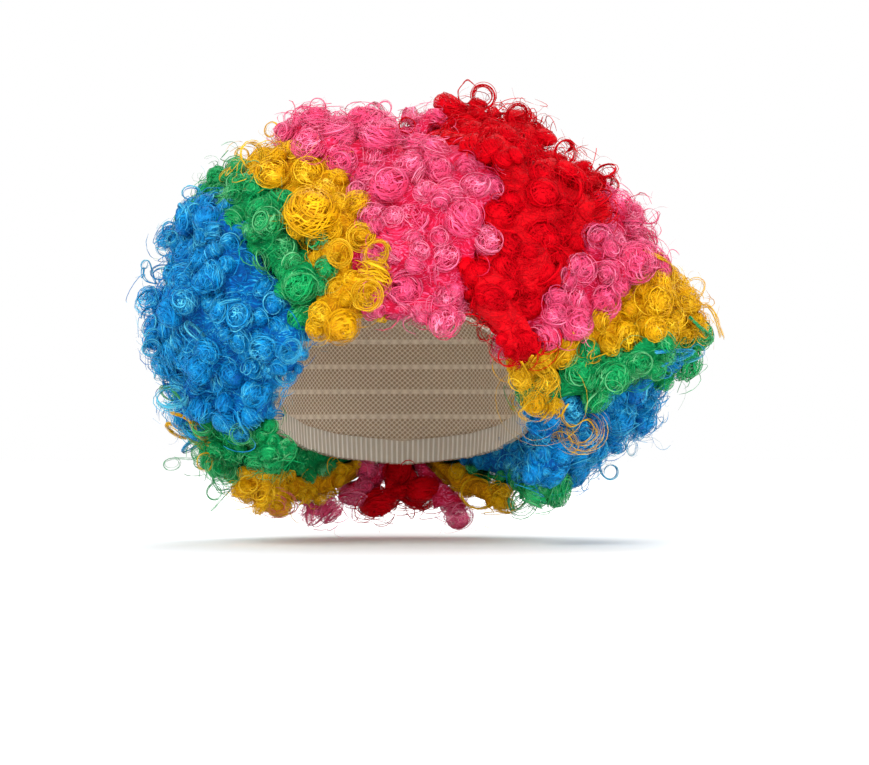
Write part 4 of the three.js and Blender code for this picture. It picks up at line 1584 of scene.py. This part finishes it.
@dataclass
class HairSection:
    """One coloured section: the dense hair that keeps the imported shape, and the curls over it."""

    name: str
    number: int
    materials: HairMaterials
    voxel: float = 5.5
    sunk: float = 3.5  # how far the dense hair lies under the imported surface
    sunk_inside: float = 0.2  # the share of it on the opening's walls
    bumps: float = 0.7  # how high the dense hair's bumps are
    tangles: int = 3180  # arcs of fibre over the whole wig
    flyaways: int = 1500  # thin fibres that leave it
    facing_limit: float = -0.1  # the cosine from which on a curl counts as facing the camera
    first_seed: int = 100  # of the sections

    @property
    def colour(self) -> HairColour:
        """The colour that the section's name starts with."""
        return HairColour(self.name.split("_")[0])

    def node_name(self) -> str:
        """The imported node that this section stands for."""
        return HAIR_PREFIX + self.name

    def make_dense(self, ground: HairGround) -> bpy.types.Object:
        """The dense hair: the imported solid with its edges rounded, drawn in a little on its outside.

        The solid's copy is rebuilt from small cubes. Each point moves inwards along its normal
        by sunk times the square of the cosine between its normal and the hair's, so the walls
        to the next sections stay, less the small bumps: the mean over x, y and z of
        sin(0.9x + 1.02z) and its like. On the opening's walls it moves a share of that.

        Args:
            ground: The hair's outside.

        Returns:
            The piece.
        """
        node = frame["nodes"][self.node_name()]
        source = shown("source", node.data.copy())
        rebuild = source.modifiers.new("rebuild", "REMESH")
        rebuild.mode = "VOXEL"
        rebuild.voxel_size = self.voxel * MM
        depsgraph = bpy.context.evaluated_depsgraph_get()
        mesh = bpy.data.meshes.new_from_object(source.evaluated_get(depsgraph))
        bpy.data.objects.remove(source)
        points = values_of(mesh.vertices, "co", np.float32)
        normals = values_of(mesh.vertex_normals, "vector", np.float32)
        places = points / MM
        wave = np.sin(places * 0.9 + 1.7 * np.roll(places, 1, axis=1) * 0.6).mean(axis=1, keepdims=True)
        near = [ground.nearest(place) for place in places]
        facing = np.clip((ground.normals[near] * normals).sum(axis=1, keepdims=True), 0.0, 1.0) ** 2
        facing = facing * np.where(ground.inner[near], self.sunk_inside, 1.0)[:, None]
        points = points + normals * MM * facing * (self.bumps * wave - self.sunk)
        mesh.vertices.foreach_set("co", points.ravel())
        mesh.polygons.foreach_set("use_smooth", np.ones(len(mesh.polygons), bool))
        mesh.materials.clear()
        mesh.materials.append(self.materials.dense[self.colour])
        mesh.name = f"dense_{self.name}"
        mesh.update()
        return shown(mesh.name, mesh)

    def make_curls(
        self, curls: Curls, view: Viewpoint, loose: LooseFibres, share: float
    ) -> list[bpy.types.Object]:
        """The curls of this section: its balls, and its locks, tangles and flyaways.

        Args:
            curls: All curls of the wig.
            view: The photograph's camera, which the curls that face it get more locks for.
            loose: The maker of the loose fibres.
            share: This section's share of the hair's surface.

        Returns:
            The pieces.
        """
        style = STYLES[self.colour]
        shapes = CurlShapes(np.random.default_rng(self.first_seed + self.number), style)
        fibres, balls = FibreMesh(), FibreMesh()
        own = curls.section == self.number
        facing = (unit(view.place() - curls.centre) * curls.axis).sum(axis=1) > self.facing_limit
        near_side, far_side = (own & facing, 3, 3, 14), (own & ~facing, 2, 2, 11)
        for chosen, locks, shells, points_a_turn in (near_side, far_side):
            round_ones, coils = curls.some(chosen, CurlKind.BALL), curls.some(chosen, CurlKind.COIL)
            for some, wound in ((round_ones, False), (coils, True)):
                outer, inner = shapes.shells(some, shells, wound)
                balls.add_shells(outer, sides=12, rings=7)
                balls.add_shells(inner, sides=8, rings=4)
            fibres.add(shapes.ball(round_ones, locks, points_a_turn))
            fibres.add(shapes.coil(coils, locks, points_a_turn))
            fibres.add(shapes.ring(curls.some(chosen, CurlKind.RING), locks + 1, points_a_turn))
        fibres.add(loose.tangle(self.number, int(self.tangles * share * style.frizz), style.lightness))
        fibres.add(loose.flyaway(self.number, int(self.flyaways * share)))
        fibres.add(loose.loops(self.name, view))
        fibres.add(loose.strays(self.name, view))
        log.info("curls_%s: %d curls", self.name, int(own.sum()))
        pieces = [fibres.build(f"curls_{self.name}", self.materials.locks[self.colour])]
        if balls.count:
            pieces.append(balls.build(f"balls_{self.name}", self.materials.balls[self.colour]))
        return pieces

    def make(self, curls: Curls, view: Viewpoint, loose: LooseFibres, share: float) -> int:
        """Makes the section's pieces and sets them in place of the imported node.

        Args:
            curls: All curls of the wig.
            view: The photograph's camera.
            loose: The maker of the loose fibres.
            share: This section's share of the hair's surface.

        Returns:
            How many triangles were added.
        """
        added = 0
        for piece in (self.make_dense(loose.ground), *self.make_curls(curls, view, loose, share)):
            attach(piece, "root")
            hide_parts(self.node_name())
            HAIR_PREFIX + self.colour.value
            piece.data.calc_loop_triangles()
            added += len(piece.data.loop_triangles)
        return added


@dataclass(frozen=True)
class NetFinish:
    """The knitted finish of the cap, a net, and of the elastic, upright ribs.

    Sizes are in millimetres. thread is the threads' colour, and the hole colour is darker, painted
    shade in the gaps between them. slant is how steep the threads cross: 0 leaves upright ribs.
    """

    name: str
    thread: tuple[float, float, float, float]
    hole_shade: tuple[float, float, float, float]
    pitch: float = 2.6  # from one crossing to the next, round the cap
    slant: float = 0.0
    rows: float = 0.0  # from one sewn row to the next, 0 for none
    radius: float = 81.0  # the cap's mean radius
    thread_edges: tuple[float, float] = (0.08, 0.55)  # where a thread starts to fade and where it ends

    def material(self) -> bpy.types.Material:
        """The material: threads in two slanted sets with holes between, and the sewn rows.

        With u the angle round the cap and v the height, both scaled so that pi is one pitch, the
        threads run where sin(u + slant * v) * sin(u - slant * v) is near 0.

        Returns:
            The material.
        """
        material, nodes, shader = blank_material(self.name)
        place = nodes.add("ShaderNodeTexCoord").outputs["Object"]
        across, back, up = nodes.add("ShaderNodeSeparateXYZ", {0: place}).outputs
        repeats = round(math.pi * self.radius / self.pitch)
        u = nodes.maths("MULTIPLY", nodes.maths("ARCTAN2", back, across), float(repeats))
        v = nodes.maths("MULTIPLY", up, self.slant * math.pi / (self.pitch * MM))
        rising, falling = (nodes.maths("SINE", nodes.maths(way, u, v)) for way in ("ADD", "SUBTRACT"))
        hole_shade = nodes.maths("ABSOLUTE", nodes.maths("MULTIPLY", rising, falling))
        shade = nodes.spread(hole_shade, *self.thread_edges, 1.0, 0.0)
        if self.rows:
            level = nodes.maths("SINE", nodes.maths("MULTIPLY", up, TURN / (self.rows * MM)))
            seam = nodes.spread(level, 0.75, 0.9)
            stitch = nodes.spread(nodes.maths("SINE", u), -1.0, 1.0, 0.5)
            shade = nodes.maths("MAXIMUM", shade, nodes.maths("MULTIPLY", seam, stitch))
        # Painted shade: the hole colour is darker, standing for shade in the gaps between the threads.
        look = {
            "Base Color": nodes.ramp(shade, [(0.0, self.hole_shade), (1.0, self.thread)]),
            "Roughness": nodes.spread(shade, 0.0, 1.0, 0.95, 0.7),
            "Normal": nodes.bump(shade, 0.7, 0.0005),
            "Specular IOR Level": 0.25,
        }
        nodes.feed(shader, look)
        return material


def dress(node: bpy.types.Object, material: bpy.types.Material) -> None:
    """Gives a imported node's object a material, and leaves its mesh's shape alone.

    Args:
        node: The node's object.
        material: Its finish.
    """
    while len(node.material_slots) == 0:
        node.data.materials.append(material)
    for slot in node.material_slots:
        slot.link = "OBJECT"
        slot.material = material


@dataclass
class Studio:
    """A pale floor, a white surround and soft lights."""

    floor_height: float
    floor_radius: float = 2.4
    floor_fade: tuple[float, float] = (0.35, 0.98)  # shares of the radius between which it fades out
    aim: tuple[float, float, float] = (0.0, 0.0, -0.08)  # what the lights point at

    def make_floor(self) -> None:
        """A round floor of rings that fades out to the surround at its rim."""
        rings, sides = 12, 64
        angle = np.arange(sides) / sides * TURN
        radius = self.floor_radius * np.linspace(1 / rings, 1, rings)[:, None]
        points = winding(radius, angle, self.floor_height).reshape(-1, 3)
        points = np.vstack([points, [[0.0, 0.0, self.floor_height]]])
        here = np.arange(sides)
        beside = (here + 1) % sides
        ring = sides * np.arange(rings - 1)[:, None]
        quads = np.stack([ring + here, ring + sides + here, ring + sides + beside, ring + beside], axis=-1)
        middle = np.stack([np.full(sides, len(points) - 1), here, beside], axis=-1)
        floor = shown("floor", mesh_from("floor", points, quads.reshape(-1, 4), middle))
        material, nodes, shader = blank_material("pale_floor")
        place = nodes.add("ShaderNodeTexCoord").outputs["Object"]
        flat = nodes.vector("MULTIPLY", place, (1.0, 1.0, 0.0)).outputs[0]
        away = nodes.vector("LENGTH", flat).outputs["Value"]
        fade = [share * self.floor_radius for share in self.floor_fade]
        look = {
            "Base Color": nodes.ramp(
                nodes.noise(place, 9.0, 3.0), [(0.3, linear(240, 240, 240)), (0.7, linear(247, 247, 247))]
            ),
            "Alpha": nodes.spread(away, *fade, 1.0, 0.0),
            "Roughness": 0.8,
            "Specular IOR Level": 0.1,
        }
        nodes.feed(shader, look)
        floor.data.materials.append(material)
        floor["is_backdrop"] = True

    def make_surround(self) -> None:
        """A world that looks white and lights the wig a little less than white would."""
        world = bpy.data.worlds.new("white_surround")
        world.use_nodes = True
        nodes = Nodes(world.node_tree)
        seen = nodes.add("ShaderNodeBackground", {"Color": (1, 1, 1, 1), "Strength": 1.0})
        lit = nodes.add("ShaderNodeBackground", {"Color": (1, 1, 1, 1), "Strength": 0.85})
        ray = nodes.add("ShaderNodeLightPath")
        values = {0: ray.outputs["Is Camera Ray"], 1: lit.outputs[0], 2: seen.outputs[0]}
        mixed = nodes.add("ShaderNodeMixShader", values)
        nodes.add("ShaderNodeOutputWorld", {"Surface": mixed.outputs[0]})
        bpy.context.scene.world = world

    def make_light(self, name: str, place: tuple[float, float, float], size: float, power: float) -> None:
        """A square soft light that points at the wig.

        Args:
            name: The light's name.
            place: Where it is, in metres.
            size: Its side in metres.
            power: Its power in watts.
        """
        data = bpy.data.lights.new(name, "AREA")
        data.size = size
        data.energy = power
        light = bpy.data.objects.new(name, data)
        light.location = place
        way = Vector(self.aim) - Vector(place)
        light.rotation_euler = way.to_track_quat("-Z", "Y").to_euler()
        bpy.context.scene.collection.objects.link(light)

    def make(self) -> None:
        """Makes the floor, the surround and three soft lights."""
        self.make_floor()
        self.make_surround()
        self.make_light("key_light", (-0.9, -1.9, 1.0), 1.1, 44.0)
        self.make_light("fill_light", (1.3, -1.8, 0.3), 1.4, 30.0)
        self.make_light("back_light", (0.3, 1.2, 1.7), 1.2, 28.0)
        settings = bpy.context.scene.view_settings
        settings.view_transform = "Standard"
        settings.look = "None"
        bpy.context.scene.cycles.transparent_max_bounces = 24


def main() -> None:
    """Builds the dressed wig and its studio."""
    logging.basicConfig(level=logging.INFO, format="%(message)s", stream=sys.stdout)
    view = Viewpoint()
    view.make()
    nodes = frame["nodes"]
    net = NetFinish("cap_net", linear(242, 227, 206), linear(184, 158, 130), slant=1.0, rows=13.0)
    dress(nodes["cap"], net.material())
    dress(nodes["edge_band"], NetFinish("elastic", linear(244, 238, 226), linear(202, 190, 172)).material())
    ground = HairGround(nodes)
    log.info("ground: %d points", len(ground.points))
    curls = CurlPlan(ground, view).make()
    log.info("curls: %d", len(curls.size))
    loose = LooseFibres(ground)
    materials = HairMaterials()
    total = 0
    for number, name in enumerate(ground.names):
        share = float((ground.sections == number).mean())
        total += HairSection(name, number, materials).make(curls, view, loose, share)
    log.info("added: %d triangles", total)
    Studio(floor_height=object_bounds()[0].z - MM).make()


if __name__ == "__main__":
    main()
